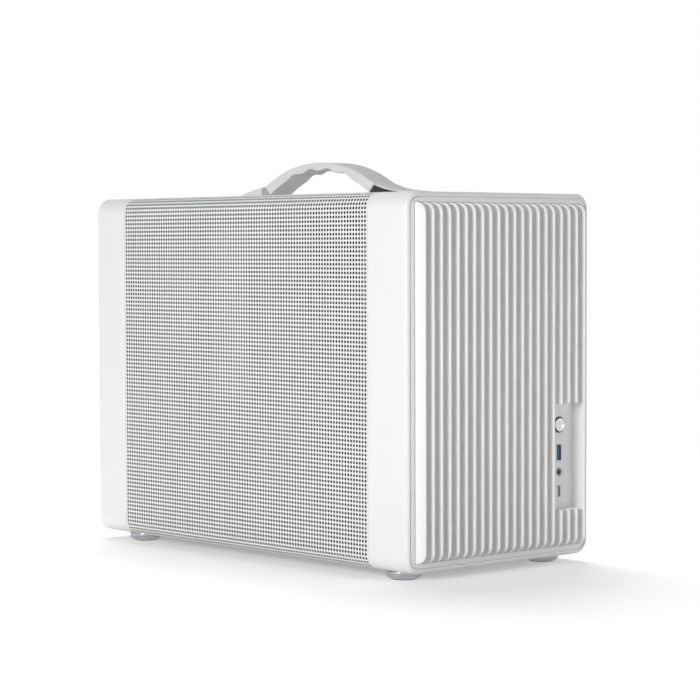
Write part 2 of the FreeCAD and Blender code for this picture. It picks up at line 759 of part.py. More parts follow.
def make_rear_panel():
    """Steel rear sheet with folded edges: board opening, card slots, fan grille, mains opening."""
    body = new_body("rear_panel")
    pad_back(body, "sheet", BACK_IN, [outer_ring("(skin+fit_gap)")], "steel")
    fold_y = (f"{PANEL_REAR}-flange_reach", BACK_OUT)
    fold_edges(body, fold_y)
    through = (f"{BACK_IN}-overrun", f"{BACK_OUT}+overrun")
    io_x = (f"{BOARD_FACE}-io_open_wide", BOARD_FACE)
    cut_box(body, "io_opening", io_x, through, (f"{BOARD_HIGH}-io_open_tall", BOARD_HIGH))
    slot_z = (f"{SLOT_MID}-slot_tall/2", f"{SLOT_MID}+slot_tall/2")
    slot = cut_box(body, "card_slot", (SLOT_LEFT, SLOT_RIGHT), through, slot_z)
    doc.recompute()
    slots = int(size("slot_count"))
    repeat(body, "card_slots", [slot], "z", f"{slots - 1}*slot_pitch", slots)
    fan_grille(body, through)
    inlet_x = (f"{INLET_X}-inlet_wide/2-fit_gap", f"{INLET_X}+inlet_wide/2+fit_gap")
    inlet_z = (f"{INLET_Z}-inlet_tall/2-fit_gap", f"{INLET_Z}+inlet_tall/2+fit_gap")
    cut_box(body, "inlet_opening", inlet_x, through, inlet_z)
    for name, place in INLET_SCREW_X.items():
        start = (place, through[0], INLET_Z)
        drill(body, f"inlet_hole_{name}", "y", start, SCREW_HOLE, "steel")
    for name, place in RETAINER_SCREW_Z.items():
        start = (RETAINER_X, through[0], place)
        drill(body, f"retainer_hole_{name}", "y", start, SCREW_HOLE, "steel")
    return body


def fold_edges(body, fold_y):
    """Fold a sheet's side, bottom and top edges along the depth of the case."""
    upright = (f"{BASE}+corner_radius+skin", f"{TOP}-corner_radius-skin")
    add_box(body, "fold_left", (f"-{FLANGE_OUT}", f"-{FLANGE_IN}"), fold_y, upright)
    add_box(body, "fold_right", (FLANGE_IN, FLANGE_OUT), fold_y, upright)
    across = (f"-{FOLD_HALF}", FOLD_HALF)
    add_box(body, "fold_low", across, fold_y, (FLOOR_TOP, f"{FLOOR_TOP}+steel"))
    add_box(body, "fold_high", across, fold_y, (f"{ROOF_LOW}-steel", ROOF_LOW))


def fan_grille(body, through):
    """Slots inside the fan's circle and its four screw holes."""
    slots = int(size("fan_slot_count"))
    for number in range(slots):
        offset = (number - (slots - 1) / 2) / (slots / 2)
        reach = math.sqrt(1 - offset * offset)
        half = f"({reach:.4f}*fan_side/2-fan_slot/2)"
        middle = f"{BASE}+fan_height+{offset:.4f}*(fan_side/2-fan_slot/2)"
        slot_z = (f"{middle}-fan_slot/2", f"{middle}+fan_slot/2")
        slot_x = (f"fan_place-{half}", f"fan_place+{half}")
        cut_box(body, f"fan_slot_{number}", slot_x, through, slot_z)
    for name, (side, up) in CORNERS.items():
        place_x = f"fan_place{side}fan_screw_pitch/2"
        start = (place_x, through[0], f"{BASE}+fan_height{up}fan_screw_pitch/2")
        drill(body, f"fan_hole_{name}", "y", start, "fan_screw_radius", "steel")


def make_front_frame():
    """Steel sheet behind the front cap, with an upper and a lower opening and folded edges."""
    body = new_body("front_frame")
    pad_back(body, "sheet", FRAME_FRONT, [outer_ring("(skin+fit_gap)")], "steel")
    fold_edges(body, (FRAME_FRONT, f"{PANEL_FRONT}+flange_reach"))
    through = (f"{FRAME_FRONT}-overrun", f"{FRAME_BACK}+overrun")
    window_x = (f"{LEFT}+window_edge", f"{RIGHT}-window_edge")
    bar_low = f"{BASE}+cross_bar_low"
    cut_box(body, "low_window", window_x, through, (f"{BASE}+window_edge", bar_low))
    cut_box(body, "high_window", window_x, through, (f"{bar_low}+cross_bar_tall", f"{TOP}-window_edge"))
    return body


def make_floor_pan():
    """Flat steel floor between the caps."""
    body = new_body("floor_pan")
    across = (f"-{FLANGE_IN}", FLANGE_IN)
    add_box(body, "sheet", across, (PANEL_FRONT, PANEL_REAR), (FLOOR_LOW, FLOOR_TOP))
    return body


def make_top_panel():
    """Steel roof: raised middle strip that carries the handle, stepped down under the side panels."""
    body = new_body("top_panel")
    depth = (PANEL_FRONT, PANEL_REAR)
    add_box(body, "strip", (f"-{STRIP_HALF}", STRIP_HALF), depth, (f"{TOP}-steel", TOP))
    for name, near, far in (
        ("left", f"-{FLANGE_IN}", f"-{STRIP_HALF}+steel"),
        ("right", f"{STRIP_HALF}-steel", FLANGE_IN),
    ):
        add_box(body, f"{name}_ledge", (near, far), depth, (ROOF_LOW, f"{ROOF_LOW}+steel"))
    add_box(body, "left_step", (f"-{STRIP_HALF}", f"-{STRIP_HALF}+steel"), depth, (ROOF_LOW, TOP))
    add_box(body, "right_step", (f"{STRIP_HALF}-steel", STRIP_HALF), depth, (ROOF_LOW, TOP))
    for name, (place_x, place_y) in HANDLE_SCREWS.items():
        start = (place_x, place_y, f"{TOP}-steel-overrun")
        drill(body, f"screw_hole_{name}", "z", start, SCREW_HOLE, "steel")
    return body


def make_motherboard_tray():
    """Upright steel sheet for the circuit board, with a window behind the processor."""
    body = new_body("motherboard_tray")
    sheet_x = (TRAY_X, f"{TRAY_X}+steel")
    add_box(body, "sheet", sheet_x, (f"{BOARD_REAR}-board_side", BACK_IN), (FLOOR_TOP, ROOF_LOW))
    middle = f"({BOARD_REAR}-board_side/2)"
    window_y = (f"{middle}-cpu_window/2", f"{middle}+cpu_window/2")
    window_z = (f"{BOARD_HIGH}-hole_step_tall", f"{BOARD_HIGH}-hole_step_tall+cpu_window")
    cut_box(body, "window", (f"{TRAY_X}-overrun", f"{TRAY_X}+steel+overrun"), window_y, window_z)
    return body


def make_standoffs():
    """Threaded pillars under the circuit board's fixing holes."""
    pillars = []
    for deep, step_y in (("near", "0"), ("mid", "hole_step_deep"), ("far", "hole_far_deep")):
        for tall, step_z in (("high", "0"), ("half", "hole_step_tall"), ("low", "hole_far_tall")):
            body = new_body(f"standoff_{deep}_{tall}")
            place_y = f"{BOARD_REAR}-hole_from_rear-{step_y}"
            place_z = f"{BOARD_HIGH}-hole_from_top-{step_z}"
            start = (BOARD_FACE, place_y, place_z)
            span_cylinder(body, "Additive", "pillar", "x", start, "standoff_radius", "board_standoff")
            span_cylinder(body, "Subtractive", "bore", "x", start, "standoff_bore", "board_standoff-steel")
            pillars.append(body)
    return gather("standoffs", pillars)


def make_slot_cover(number):
    """Blanking plate behind one card slot."""
    body = new_body(f"slot_cover_{number + 1}")
    middle = f"{SLOT_MID}+{number}*slot_pitch"
    cover_x = (f"{SLOT_LEFT}-slot_lap", f"{SLOT_RIGHT}+slot_set_back")
    cover_z = (f"{middle}-cover_tall/2", f"{middle}+cover_tall/2")
    add_box(body, "plate", cover_x, (f"{BACK_IN}-steel", BACK_IN), cover_z)
    return body


def make_slot_retainer():
    """Bar that clamps the ends of the slot covers."""
    body = new_body("slot_retainer")
    bar_x = (f"{SLOT_LEFT}-slot_lap", f"{SLOT_LEFT}-fit_gap")
    bar_z = (f"{RETAINER_LOW}-retainer_reach", f"{RETAINER_HIGH}+retainer_reach")
    add_box(body, "bar", bar_x, (f"{BACK_IN}-2*steel", f"{BACK_IN}-steel"), bar_z)
    for name, place in RETAINER_SCREW_Z.items():
        start = (RETAINER_X, f"{BACK_IN}-2*steel-overrun", place)
        drill(body, f"hole_{name}", "y", start, SCREW_HOLE, "steel")
    return body


def make_psu_bracket():
    """Folded bridge over the power supply: pierced top plate, two legs and their toes."""
    body = new_body("psu_bracket")
    inner = "(psu_wide/2+fit_gap)"
    outer = f"({inner}+steel)"
    depth = (PSU_FRONT, f"{PSU_FRONT}+psu_deep")
    plate_low = f"({FLOOR_TOP}+psu_tall+fit_gap)"
    add_box(body, "plate", (f"-{outer}", outer), depth, (plate_low, f"{plate_low}+steel"))
    add_box(body, "left_leg", (f"-{outer}", f"-{inner}"), depth, (FLOOR_TOP, plate_low))
    add_box(body, "right_leg", (inner, outer), depth, (FLOOR_TOP, plate_low))
    toe_z = (FLOOR_TOP, f"{FLOOR_TOP}+steel")
    add_box(body, "left_toe", (f"-{outer}-bracket_toe", f"-{outer}"), depth, toe_z)
    add_box(body, "right_toe", (outer, f"{outer}+bracket_toe"), depth, toe_z)
    window_x = ("-psu_wide/2+psu_window_edge", "psu_wide/2-psu_window_edge")
    window_y = (f"{PSU_FRONT}+psu_window_edge", f"{PSU_FRONT}+psu_deep-psu_window_edge")
    through = (f"{plate_low}-overrun", f"{plate_low}+steel+overrun")
    cut_box(body, "window", window_x, window_y, through)
    for name, (side, up) in CORNERS.items():
        place_x = "psu_hole_short-psu_hole_wide/2" if name == "low_right" else f"0{side}psu_hole_wide/2"
        place = (place_x, f"{PSU_FRONT}+psu_deep/2{up}psu_hole_deep/2", through[0])
        drill(body, f"hole_{name}", "z", place, "standoff_bore", "steel")
    return body


def make_drive_bracket():
    """Folded drive plate that stands off the upper half of the front frame."""
    body = new_body("drive_bracket")
    low, high = f"{BASE}+cross_bar_low+steel", f"{TOP}-window_edge+cross_bar_tall/2"
    wide = ("-drive_wide/2", "drive_wide/2")
    plate_y = (f"{FRAME_BACK}+drive_stand", f"{FRAME_BACK}+drive_stand+steel")
    add_box(body, "plate", wide, plate_y, (low, high))
    add_box(body, "low_leg", wide, (FRAME_BACK, plate_y[1]), (low, f"{low}+steel"))
    add_box(body, "high_leg", wide, (FRAME_BACK, plate_y[1]), (f"{high}-steel", high))
    middle = f"(({low}+{high})/2)"
    for name, (side, up) in CORNERS.items():
        place = (f"0{side}drive_hole_wide/2", f"{plate_y[0]}-overrun", f"{middle}{up}drive_hole_tall/2")
        drill(body, f"hole_{name}", "y", place, "standoff_bore", "steel")
    return body


def make_power_inlet():
    """Mains inlet socket in the rear panel, with three pins."""
    body = new_body("power_inlet")
    plate_x = (f"{INLET_X}-inlet_plate_wide/2", f"{INLET_X}+inlet_plate_wide/2")
    plate_z = (f"{INLET_Z}-inlet_plate_tall/2", f"{INLET_Z}+inlet_plate_tall/2")
    plate_out = f"({BACK_OUT}+inlet_plate_thick)"
    add_box(body, "plate", plate_x, (BACK_OUT, plate_out), plate_z)
    case_x = (f"{INLET_X}-inlet_wide/2", f"{INLET_X}+inlet_wide/2")
    case_z = (f"{INLET_Z}-inlet_tall/2", f"{INLET_Z}+inlet_tall/2")
    add_box(body, "case", case_x, (f"{plate_out}-inlet_deep", BACK_OUT), case_z)
    well_x = (f"{case_x[0]}+inlet_wall", f"{case_x[1]}-inlet_wall")
    well_z = (f"{case_z[0]}+inlet_wall", f"{case_z[1]}-inlet_wall")
    cut_box(body, "well", well_x, (f"{plate_out}-inlet_deep+inlet_wall", f"{plate_out}+overrun"), well_z)
    pin_y = (f"{plate_out}-inlet_deep", f"{BACK_OUT}-inlet_wall")
    for name, side, up in (
        ("earth", "0", "pin_tall/2"),
        ("live", "-pin_pitch", "-pin_tall/2"),
        ("neutral", "pin_pitch", "-pin_tall/2"),
    ):
        middle_x, middle_z = f"{INLET_X}+({side})", f"{INLET_Z}+({up})"
        pin_x = (f"{middle_x}-pin_wide/2", f"{middle_x}+pin_wide/2")
        pin_z = (f"{middle_z}-pin_tall/2", f"{middle_z}+pin_tall/2")
        add_box(body, f"{name}_pin", pin_x, pin_y, pin_z)
    for name, place in INLET_SCREW_X.items():
        start = (place, f"{BACK_OUT}-overrun", INLET_Z)
        drill(body, f"hole_{name}", "y", start, SCREW_HOLE, "inlet_plate_thick")
    return body


def strap_point(place, height):
    """Point of the handle's side outline, counted from its middle along the case and up from the roof."""
    return FreeCAD.Vector(0, place, height)


def strap_lines(*points):
    """Straight edges of the handle's side outline through the given places and heights."""
    corners = [strap_point(place, height) for place, height in points]
    return [Part.LineSegment(first, second).toShape() for first, second in zip(corners, corners[1:])]


def leaf_arc(drop):
    """Sagging arc of the front leaf from the grip's end to the lip, lowered from its upper face."""
    inner = size("handle_span") / 2
    outer = inner + size("handle_leaf")
    high, low = size("handle_shoulder") - drop, size("lip_thick") - drop
    middle = strap_point(-(inner + outer) / 2, (high + low) / 2 - size("leaf_sag"))
    return Part.Arc(strap_point(-outer, low), middle, strap_point(-inner, high)).toShape()


def crown_height(place):
    """Height of the grip's upper face."""
    half, rise = size("handle_span") / 2, size("handle_rise")
    sag = rise - size("handle_shoulder")
    radius = (half * half + sag * sag) / (2 * sag)
    return rise - radius + math.sqrt(radius * radius - place * place)


def grip_underside(grip_half):
    """Grip underside: a flatter arch with a wave of finger dents that fades at both ends."""
    clear = size("grip_end_clear")
    crown = size("handle_rise") - size("grip_thick")
    sag = crown - clear
    radius = (grip_half * grip_half + sag * sag) / (2 * sag)
    pitch, dent = size("finger_pitch"), size("finger_dent")
    waved = size("finger_count") * pitch / 2
    steps = 48
    points = []
    for step in range(steps + 1):
        place = grip_half * (2 * step / steps - 1)
        arch = crown - radius + math.sqrt(radius * radius - place * place)
        wave = dent * (1 - math.cos(2 * math.pi * place / pitch)) if abs(place) < waved else 0.0
        points.append(strap_point(place, arch + wave))
    curve = Part.BSplineCurve()
    curve.interpolate(points)
    return curve.toShape()


def make_handle():
    """One flexible strap: arched grip, thin front leaf that runs into a lip, solid ramp at the rear."""
    half = size("handle_span") / 2
    shoulder, leaf = size("handle_shoulder"), size("leaf_thick")
    inside = shoulder - leaf
    grip_half, clear = half - size("grip_end_slope") + leaf, size("grip_end_clear")
    lip = half + size("handle_leaf")
    lip_end = lip + size("lip_long")
    touch = lip + size("leaf_foot")
    ramp = half + size("notch_wide")
    ramp_end, drop = ramp + size("ramp_long"), size("ramp_drop")
    edges = [grip_underside(grip_half), leaf_arc(0), leaf_arc(leaf)]
    edges += strap_lines((-grip_half, clear), (-half, inside))
    lip_top, lip_tip = size("lip_thick"), size("lip_tip")
    edges += strap_lines(
        (-lip, lip_top - leaf), (-touch, 0), (-lip_end, 0), (-lip_end, lip_tip), (-lip, lip_top)
    )
    notch = ((grip_half, clear), (half, inside), (ramp, inside - drop), (ramp, 0))
    block = ((ramp_end, 0), (ramp_end, size("ramp_low")), (ramp, shoulder - drop), (half, shoulder))
    edges += strap_lines(*notch, *block)
    ends = [strap_point(way * half, shoulder) for way in (-1, 1)]
    edges.append(Part.Arc(ends[0], strap_point(0, size("handle_rise")), ends[1]).toShape())
    outline = Part.Wire(Part.__sortEdges__(edges))
    wide = size("handle_width")
    strap = Part.Face(outline).extrude(FreeCAD.Vector(wide, 0, 0))
    across = FreeCAD.Vector(1, 0, 0)
    for number in range(int(size("flex_count"))):
        for way in (-1, 1):
            place = way * (size("flex_place") + number * size("flex_pitch"))
            above = strap_point(place, crown_height(place) + size("flex_radius") - size("flex_depth"))
            strap = strap.cut(Part.makeCylinder(size("flex_radius"), wide, above, across))
    fixings = (-(lip_end + touch) / 2, (ramp + ramp_end) / 2)
    for side in (-1, 1):
        for screw_y in fixings:
            screw_x = wide / 2 + side * size("handle_screw_pitch") / 2
            place = FreeCAD.Vector(screw_x, screw_y, 0)
            strap = strap.cut(Part.makeCylinder(size("screw_radius"), size("screw_bite"), place))
    return place_on_roof(keep_shape("handle", strap), "handle_width/2")


def place_on_roof(piece, half_wide):
    """Stand a piece of the handle on the roof, across the middle of the case."""
    for axis, text in zip("xyz", (f"-({half_wide})", "handle_place", TOP)):
        piece.setExpression(f"Placement.Base.{axis}", bound(text))
    return piece


def make_handle_core():
    """Dark block that fills the space between the front leaf, the grip's end and the roof."""
    half, gap = size("handle_span") / 2, size("core_gap")
    leaf = size("leaf_thick") + gap
    inside = size("handle_shoulder") - leaf
    grip_half = half - size("grip_end_slope") + size("leaf_thick")
    lip = half + size("handle_leaf")
    low = size("lip_thick") - leaf
    touch = lip + size("leaf_foot") * low / (low + gap)
    near = grip_half + gap
    edges = [leaf_arc(leaf)]
    slope_low = size("grip_end_clear") - gap
    edges += strap_lines((-half, inside), (-near, slope_low), (-near, 0), (-touch, 0), (-lip, low))
    outline = Part.Wire(Part.__sortEdges__(edges))
    wide = size("handle_width") - 2 * size("core_inset")
    block = Part.Face(outline).extrude(FreeCAD.Vector(wide, 0, 0))
    return place_on_roof(keep_shape("handle_core", block), "handle_width/2-core_inset")


def make_handle_plate(label, end):
    """Backing plate under the roof at one end of the handle."""
    body = new_body(label)
    middle = HANDLE_FIXING[end]
    plate_y = (f"{middle}-fixing_plate/2", f"{middle}+fixing_plate/2")
    across = ("-handle_width/2", "handle_width/2")
    add_box(body, "plate", across, plate_y, (f"{TOP}-steel-plate_thick", f"{TOP}-steel"))
    for name, (place_x, place_y) in HANDLE_SCREWS.items():
        if name.startswith(end):
            start = (place_x, place_y, f"{TOP}-steel-plate_thick-overrun")
            drill(body, f"hole_{name}", "z", start, SCREW_HOLE, "plate_thick")
    return body


def make_screws(label, axis, flip, places, shank):
    """Group of pan-head screws; each place is the seat under the head, flip -1 points the shank back."""
    screws = []
    for number, place in enumerate(places):
        body = new_body(f"{label}_{'abcdefgh'[number]}")
        along_axis = "xyz".index(axis)
        shank_start = list(place)
        head_start = list(place)
        if flip < 0:
            shank_start[along_axis] = f"{place[along_axis]}-({shank})"
        else:
            head_start[along_axis] = f"{place[along_axis]}-screw_head_tall"
        span_cylinder(body, "Additive", "head", axis, head_start, "screw_head", "screw_head_tall")
        span_cylinder(body, "Additive", "shank", axis, shank_start, "screw_radius", shank)
        screws.append(body)
    return gather(label, screws)


def make_foot(end, side):
    """Turned bright foot: chamfered disc with a seat for its pad, a screw hole and a small spigot."""
    body = new_body(f"foot_{end}_{side}")
    place_x, place_y = FOOT_X[side], FOOT_Y[end]
    upper = f"({BASE}-fit_gap)"
    start = (place_x, place_y, "pad_show")
    span_cylinder(body, "Additive", "disc", "z", start, "foot_radius", f"{upper}-pad_show")
    doc.recompute()

    def low_rim(edge):
        return edge.BoundBox.ZMax < size("pad_show") + 1e-4

    disc = body.Tip
    chamfer = body.newObject("PartDesign::Chamfer", "low_chamfer")
    chamfer.Base = (disc, [f"Edge{n}" for n, edge in enumerate(disc.Shape.Edges, 1) if low_rim(edge)])
    chamfer.setExpression("Size", bound("foot_chamfer"))
    span_cylinder(body, "Additive", "spigot", "z", (place_x, place_y, upper), "foot_boss", "fit_gap")
    below = (place_x, place_y, "pad_show-overrun")
    seat_deep = "pad_thick-pad_show+overrun"
    span_cylinder(body, "Subtractive", "pad_seat", "z", below, "pad_radius+fit_gap", seat_deep)
    head = "screw_head_tall+fit_gap"
    seat = (place_x, place_y, "pad_thick-overrun")
    span_cylinder(body, "Subtractive", "head_seat", "z", seat, "screw_head+fit_gap", f"{head}+overrun")
    span_cylinder(body, "Subtractive", "screw_hole", "z", below, SCREW_HOLE, f"{BASE}+overrun")
    return body


def make_foot_pad(end, side):
    """Rubber disc that the foot stands on."""
    body = new_body(f"foot_pad_{end}_{side}")
    start = (FOOT_X[side], FOOT_Y[end], "0")
    span_cylinder(body, "Additive", "disc", "z", start, "pad_radius", "pad_thick")
    return body


def make_all():
    """Make every sub-part in order and return those that become files."""
    nodes = [
        make_front_bezel(),
        make_front_grille(),
        make_io_panel(),
        make_power_button(),
        make_power_switch(),
        make_io_board(),
        make_usb_port("usb_a_port", "usb_a_height", "usb_a_long", "usb_a_short", None),
        make_usb_port("usb_c_port", "usb_c_height", "usb_c_long", "usb_c_short", "(usb_c_short-fit_gap)/2"),
        make_audio_jack(),
        make_rear_bezel(),
        make_rear_panel(),
        make_front_frame(),
        make_floor_pan(),
        make_top_panel(),
        make_motherboard_tray(),
        make_standoffs(),
        make_slot_retainer(),
        make_psu_bracket(),
        make_drive_bracket(),
        make_power_inlet(),
        make_handle(),
        make_handle_core(),
        make_handle_plate("handle_plate_front", "front"),
        make_handle_plate("handle_plate_rear", "rear"),
    ]
    nodes += [make_slot_cover(number) for number in range(int(size("slot_count")))]
    for side, outward in (("left", -1), ("right", 1)):
        nodes.append(make_side_panel(f"{side}_panel", outward))
        nodes.append(make_panel_studs(f"{side}_studs", outward))
        nodes.append(make_panel_clips(f"{side}_clips", outward))
    foot_seats = []
    for end in FOOT_Y:
        for side in FOOT_X:
            nodes.append(make_foot(end, side))
            nodes.append(make_foot_pad(end, side))
            foot_seats.append((FOOT_X[side], FOOT_Y[end], "(pad_thick+screw_head_tall+fit_gap)"))
    foot_shank = f"{BASE}+skin+boss_tall-pad_thick-screw_head_tall-2*fit_gap"
    nodes.append(make_screws("foot_screws", "z", 1, foot_seats, foot_shank))
    roof = f"({TOP}-steel-plate_thick)"
    handle_seats = [(x, y, roof) for x, y in HANDLE_SCREWS.values()]
    nodes.append(make_screws("handle_screws", "z", 1, handle_seats, "plate_thick+steel+screw_bite"))
    inlet_seats = [(x, f"({BACK_OUT}+inlet_plate_thick)", INLET_Z) for x in INLET_SCREW_X.values()]
    nodes.append(make_screws("inlet_screws", "y", -1, inlet_seats, "inlet_plate_thick+2*steel"))
    bar_seats = [(RETAINER_X, f"({BACK_IN}-2*steel)", z) for z in RETAINER_SCREW_Z.values()]
    nodes.append(make_screws("retainer_screws", "y", 1, bar_seats, "3*steel"))
    return nodes


def check_and_write(nodes):
    """Stop on any failed object or bad shape, then write each sub-part to its file."""
    doc.recompute()
    for thing in doc.Objects:
        assert "Invalid" not in thing.State and "Error" not in thing.State, thing.Label
    for node in nodes:
        assert not node.Shape.isNull() and node.Shape.isValid(), node.Label
        assert node.Shape.Solids, node.Label
    os.makedirs("parts", exist_ok=True)
    for node in nodes:
        node.Shape.exportStep(f"parts/{node.Label}.step")


check_and_write(make_all())
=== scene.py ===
"""Dressed model of a white micro-ATX computer case with a fluted front and perforated sides.

Lengths are millimetres in the classes below and become metres where a mesh is made. The frame is the
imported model's own: +Z up, front towards -Y, origin on the floor under the middle of the case.
"""
import logging
import math
from dataclasses import dataclass, field
from enum import Enum
from typing import Iterable, Sequence

import bpy
import numpy as np
from mathutils import Matrix, Vector


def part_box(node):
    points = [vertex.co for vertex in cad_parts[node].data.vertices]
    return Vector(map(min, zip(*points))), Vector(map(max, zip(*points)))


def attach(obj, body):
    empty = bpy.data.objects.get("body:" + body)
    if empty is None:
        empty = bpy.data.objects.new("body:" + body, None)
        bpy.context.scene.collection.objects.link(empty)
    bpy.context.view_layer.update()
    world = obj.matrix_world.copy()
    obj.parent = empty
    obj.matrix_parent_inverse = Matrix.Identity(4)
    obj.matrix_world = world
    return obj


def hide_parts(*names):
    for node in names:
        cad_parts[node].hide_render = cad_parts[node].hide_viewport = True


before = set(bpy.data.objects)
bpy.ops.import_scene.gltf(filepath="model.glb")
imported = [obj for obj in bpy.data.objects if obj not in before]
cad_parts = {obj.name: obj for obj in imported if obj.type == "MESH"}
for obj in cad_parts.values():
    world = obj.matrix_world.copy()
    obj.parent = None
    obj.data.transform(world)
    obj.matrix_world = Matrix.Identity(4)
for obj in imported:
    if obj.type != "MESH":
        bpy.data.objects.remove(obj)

LOG = logging.getLogger("case")
MM = 0.001
SHARP_ANGLE = math.radians(38.0)
LEAST_ROUGHNESS = 0.02
QUARTER = math.pi / 2
WHITE = (1.0, 1.0, 1.0, 1.0)
TOLERANCE = 1e-6
PLACE_DIGITS = 4
# A rounded corner takes at most this share of half a side
BEND_SHARE = 0.98
# The faces round a panel's hole are laid out for this many sides
HOLE_SIDES = 6

Triple = tuple[float, float, float]
Span = tuple[float, float]
Outline = list[tuple[float, float]]
Faces = list[tuple[int, ...]]


class Side(Enum):
    """Side of the case, seen from the front."""

    LEFT = -1
    RIGHT = 1

    @property
    def label(self) -> str:
        """Return the side's word as used in node names."""
        return self.name.lower()


class End(Enum):
    """End of the case, with its word in node names."""

    FRONT = "front"
    REAR = "rear"


class Body(Enum):
    """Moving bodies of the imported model."""

    CASE = "case"
    LEFT_SIDE = "left_side"
    RIGHT_SIDE = "right_side"
    BUTTON = "button"


def node_span(node: str, axis: int) -> Span:
    """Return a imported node's lowest and highest place in millimetres along X, Y or Z: axis 0, 1 or 2."""
    low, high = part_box(node)
    return low[axis] / MM, high[axis] / MM


def node_size(node: str, axis: int) -> float:
    """Return a node's length in millimetres along one axis."""
    low, high = node_span(node, axis)
    return high - low


def node_middle(node: str, axis: int) -> float:
    """Return the middle of a node in millimetres along one axis."""
    return sum(node_span(node, axis)) / 2


@dataclass(frozen=True)
class Finish:
    """One surface finish, made as a procedural material.

    Sizes of the grain and of the broad drift in tone are in millimetres.
    """

    name: str
    colour: Triple
    roughness: float
    metallic: float = 0.0
    drift: float = 0.02
    drift_size: float = 60.0
    drift_octaves: float = 3.0
    rough_swing: float = 0.06
    grain_size: float = 0.5
    grain_depth: float = 0.012
    grain_octaves: float = 2.0
    specular: float = 0.5
    stretch: Triple = (1.0, 1.0, 1.0)

    def tinted(self, factor: float) -> tuple[float, float, float, float]:
        """Return the colour scaled by a factor, with no channel above 1."""
        red, green, blue = (min(channel * factor, 1.0) for channel in self.colour)
        return red, green, blue, 1.0

    def material(self) -> bpy.types.Material:
        """Build the material once and reuse it.

        Returns:
            The material of this finish.
        """
        found = bpy.data.materials.get(self.name)
        if found:
            return found
        material = bpy.data.materials.new(self.name)
        material.use_nodes = True
        tree = material.node_tree
        add, link = tree.nodes.new, tree.links.new
        shader = tree.nodes["Principled BSDF"]
        shader.inputs["Metallic"].default_value = self.metallic
        shader.inputs["Specular IOR Level"].default_value = self.specular
        place = add("ShaderNodeTexCoord")
        mapping = add("ShaderNodeMapping")
        mapping.inputs["Scale"].default_value = self.stretch
        link(place.outputs["Object"], mapping.inputs["Vector"])
        broad = self._noise(tree, mapping, self.drift_size, self.drift_octaves)
        fine = self._noise(tree, mapping, self.grain_size, self.grain_octaves)
        tone = add("ShaderNodeMix")
        tone.data_type = "RGBA"
        tone.inputs["A"].default_value = self.tinted(1.0 - self.drift)
        tone.inputs["B"].default_value = self.tinted(1.0 + self.drift)
        link(broad.outputs["Fac"], tone.inputs["Factor"])
        link(tone.outputs["Result"], shader.inputs["Base Color"])
        rough = add("ShaderNodeMapRange")
        least = max(self.roughness - self.rough_swing, LEAST_ROUGHNESS)
        rough.inputs["To Min"].default_value = least
        rough.inputs["To Max"].default_value = self.roughness + self.rough_swing
        link(broad.outputs["Fac"], rough.inputs["Value"])
        link(rough.outputs["Result"], shader.inputs["Roughness"])
        bump = add("ShaderNodeBump")
        bump.inputs["Distance"].default_value = self.grain_depth * MM
        link(fine.outputs["Fac"], bump.inputs["Height"])
        link(bump.outputs["Normal"], shader.inputs["Normal"])
        return material

    @staticmethod
    def _noise(
        tree: bpy.types.NodeTree, mapping: bpy.types.Node, size: float, detail: float
    ) -> bpy.types.Node:
        """Add a noise of one feature size.

        Args:
            tree: Node tree of the material.
            mapping: Node that gives the place on the object.
            size: Feature size in millimetres.
            detail: Octaves of the noise.

        Returns:
            The noise node.
        """
        noise = tree.nodes.new("ShaderNodeTexNoise")
        noise.inputs["Scale"].default_value = 1.0 / (size * MM)
        noise.inputs["Detail"].default_value = detail
        tree.links.new(mapping.outputs["Vector"], noise.inputs["Vector"])
        return noise


WHITE_MOULDING = Finish("white_moulding", (0.87, 0.87, 0.872), 0.42, grain_depth=0.006)
WHITE_COAT = Finish(
    "white_powder_coat", (0.87, 0.87, 0.872), 0.5, grain_size=0.35, grain_depth=0.015
)
RIB_MOULDING = Finish("rib_moulding", (0.87, 0.87, 0.872), 0.36, grain_depth=0.005)
STRAP_SOFT = Finish(
    "strap_soft_touch", (0.76, 0.76, 0.762), 0.62, drift=0.03, grain_size=0.3, grain_depth=0.02
)
DARK_COAT = Finish(
    "dark_powder_coat", (0.035, 0.035, 0.038), 0.55, drift=0.1, grain_size=0.4, grain_depth=0.02
)
# Near-black matt coat of the sheet behind the side holes: painted shade for the unlit inside of the case
PAINTED_HOLE_SHADE = Finish("painted_hole_shade_matt", (0.012, 0.012, 0.013), 0.8, drift=0.1, specular=0.1)
BUTTON_CHROME = Finish(
    "polished_chrome", (0.66, 0.67, 0.69), 0.1, metallic=1.0, drift=0.15, drift_size=4.0,
    rough_swing=0.03, grain_depth=0.001,
)
# Darker base colour than the button's chrome: painted reflection of the shaded floor under the case
FOOT_CHROME_DARK_REFLECTION = Finish(
    "foot_chrome_painted_reflection", (0.46, 0.47, 0.49), 0.12, metallic=1.0, drift=0.25, drift_size=5.0,
    grain_depth=0.002,
)
SHELL_STEEL = Finish(
    "drawn_port_steel", (0.6, 0.6, 0.62), 0.28, metallic=1.0, grain_size=0.2, stretch=(1.0, 0.1, 1.0)
)
BLUE_PLASTIC = Finish("blue_tongue", (0.03, 0.16, 0.36), 0.4, grain_depth=0.004)
GREY_PLASTIC = Finish("grey_moulding", (0.3, 0.3, 0.31), 0.45, drift=0.05)
BLACK_PLASTIC = Finish("black_moulding", (0.02, 0.02, 0.021), 0.45, drift=0.1)
BOARD_MASK = Finish("board_mask", (0.015, 0.09, 0.04), 0.3, drift=0.12, drift_size=6.0)
ZINC = Finish("zinc_plate", (0.62, 0.62, 0.64), 0.3, metallic=1.0, drift=0.06, drift_size=4.0)
BRASS = Finish("turned_brass", (0.75, 0.56, 0.24), 0.3, metallic=1.0, drift=0.06, drift_size=4.0)
RUBBER = Finish("foot_rubber", (0.03, 0.03, 0.03), 0.8, drift=0.15, grain_size=0.6, grain_depth=0.04)


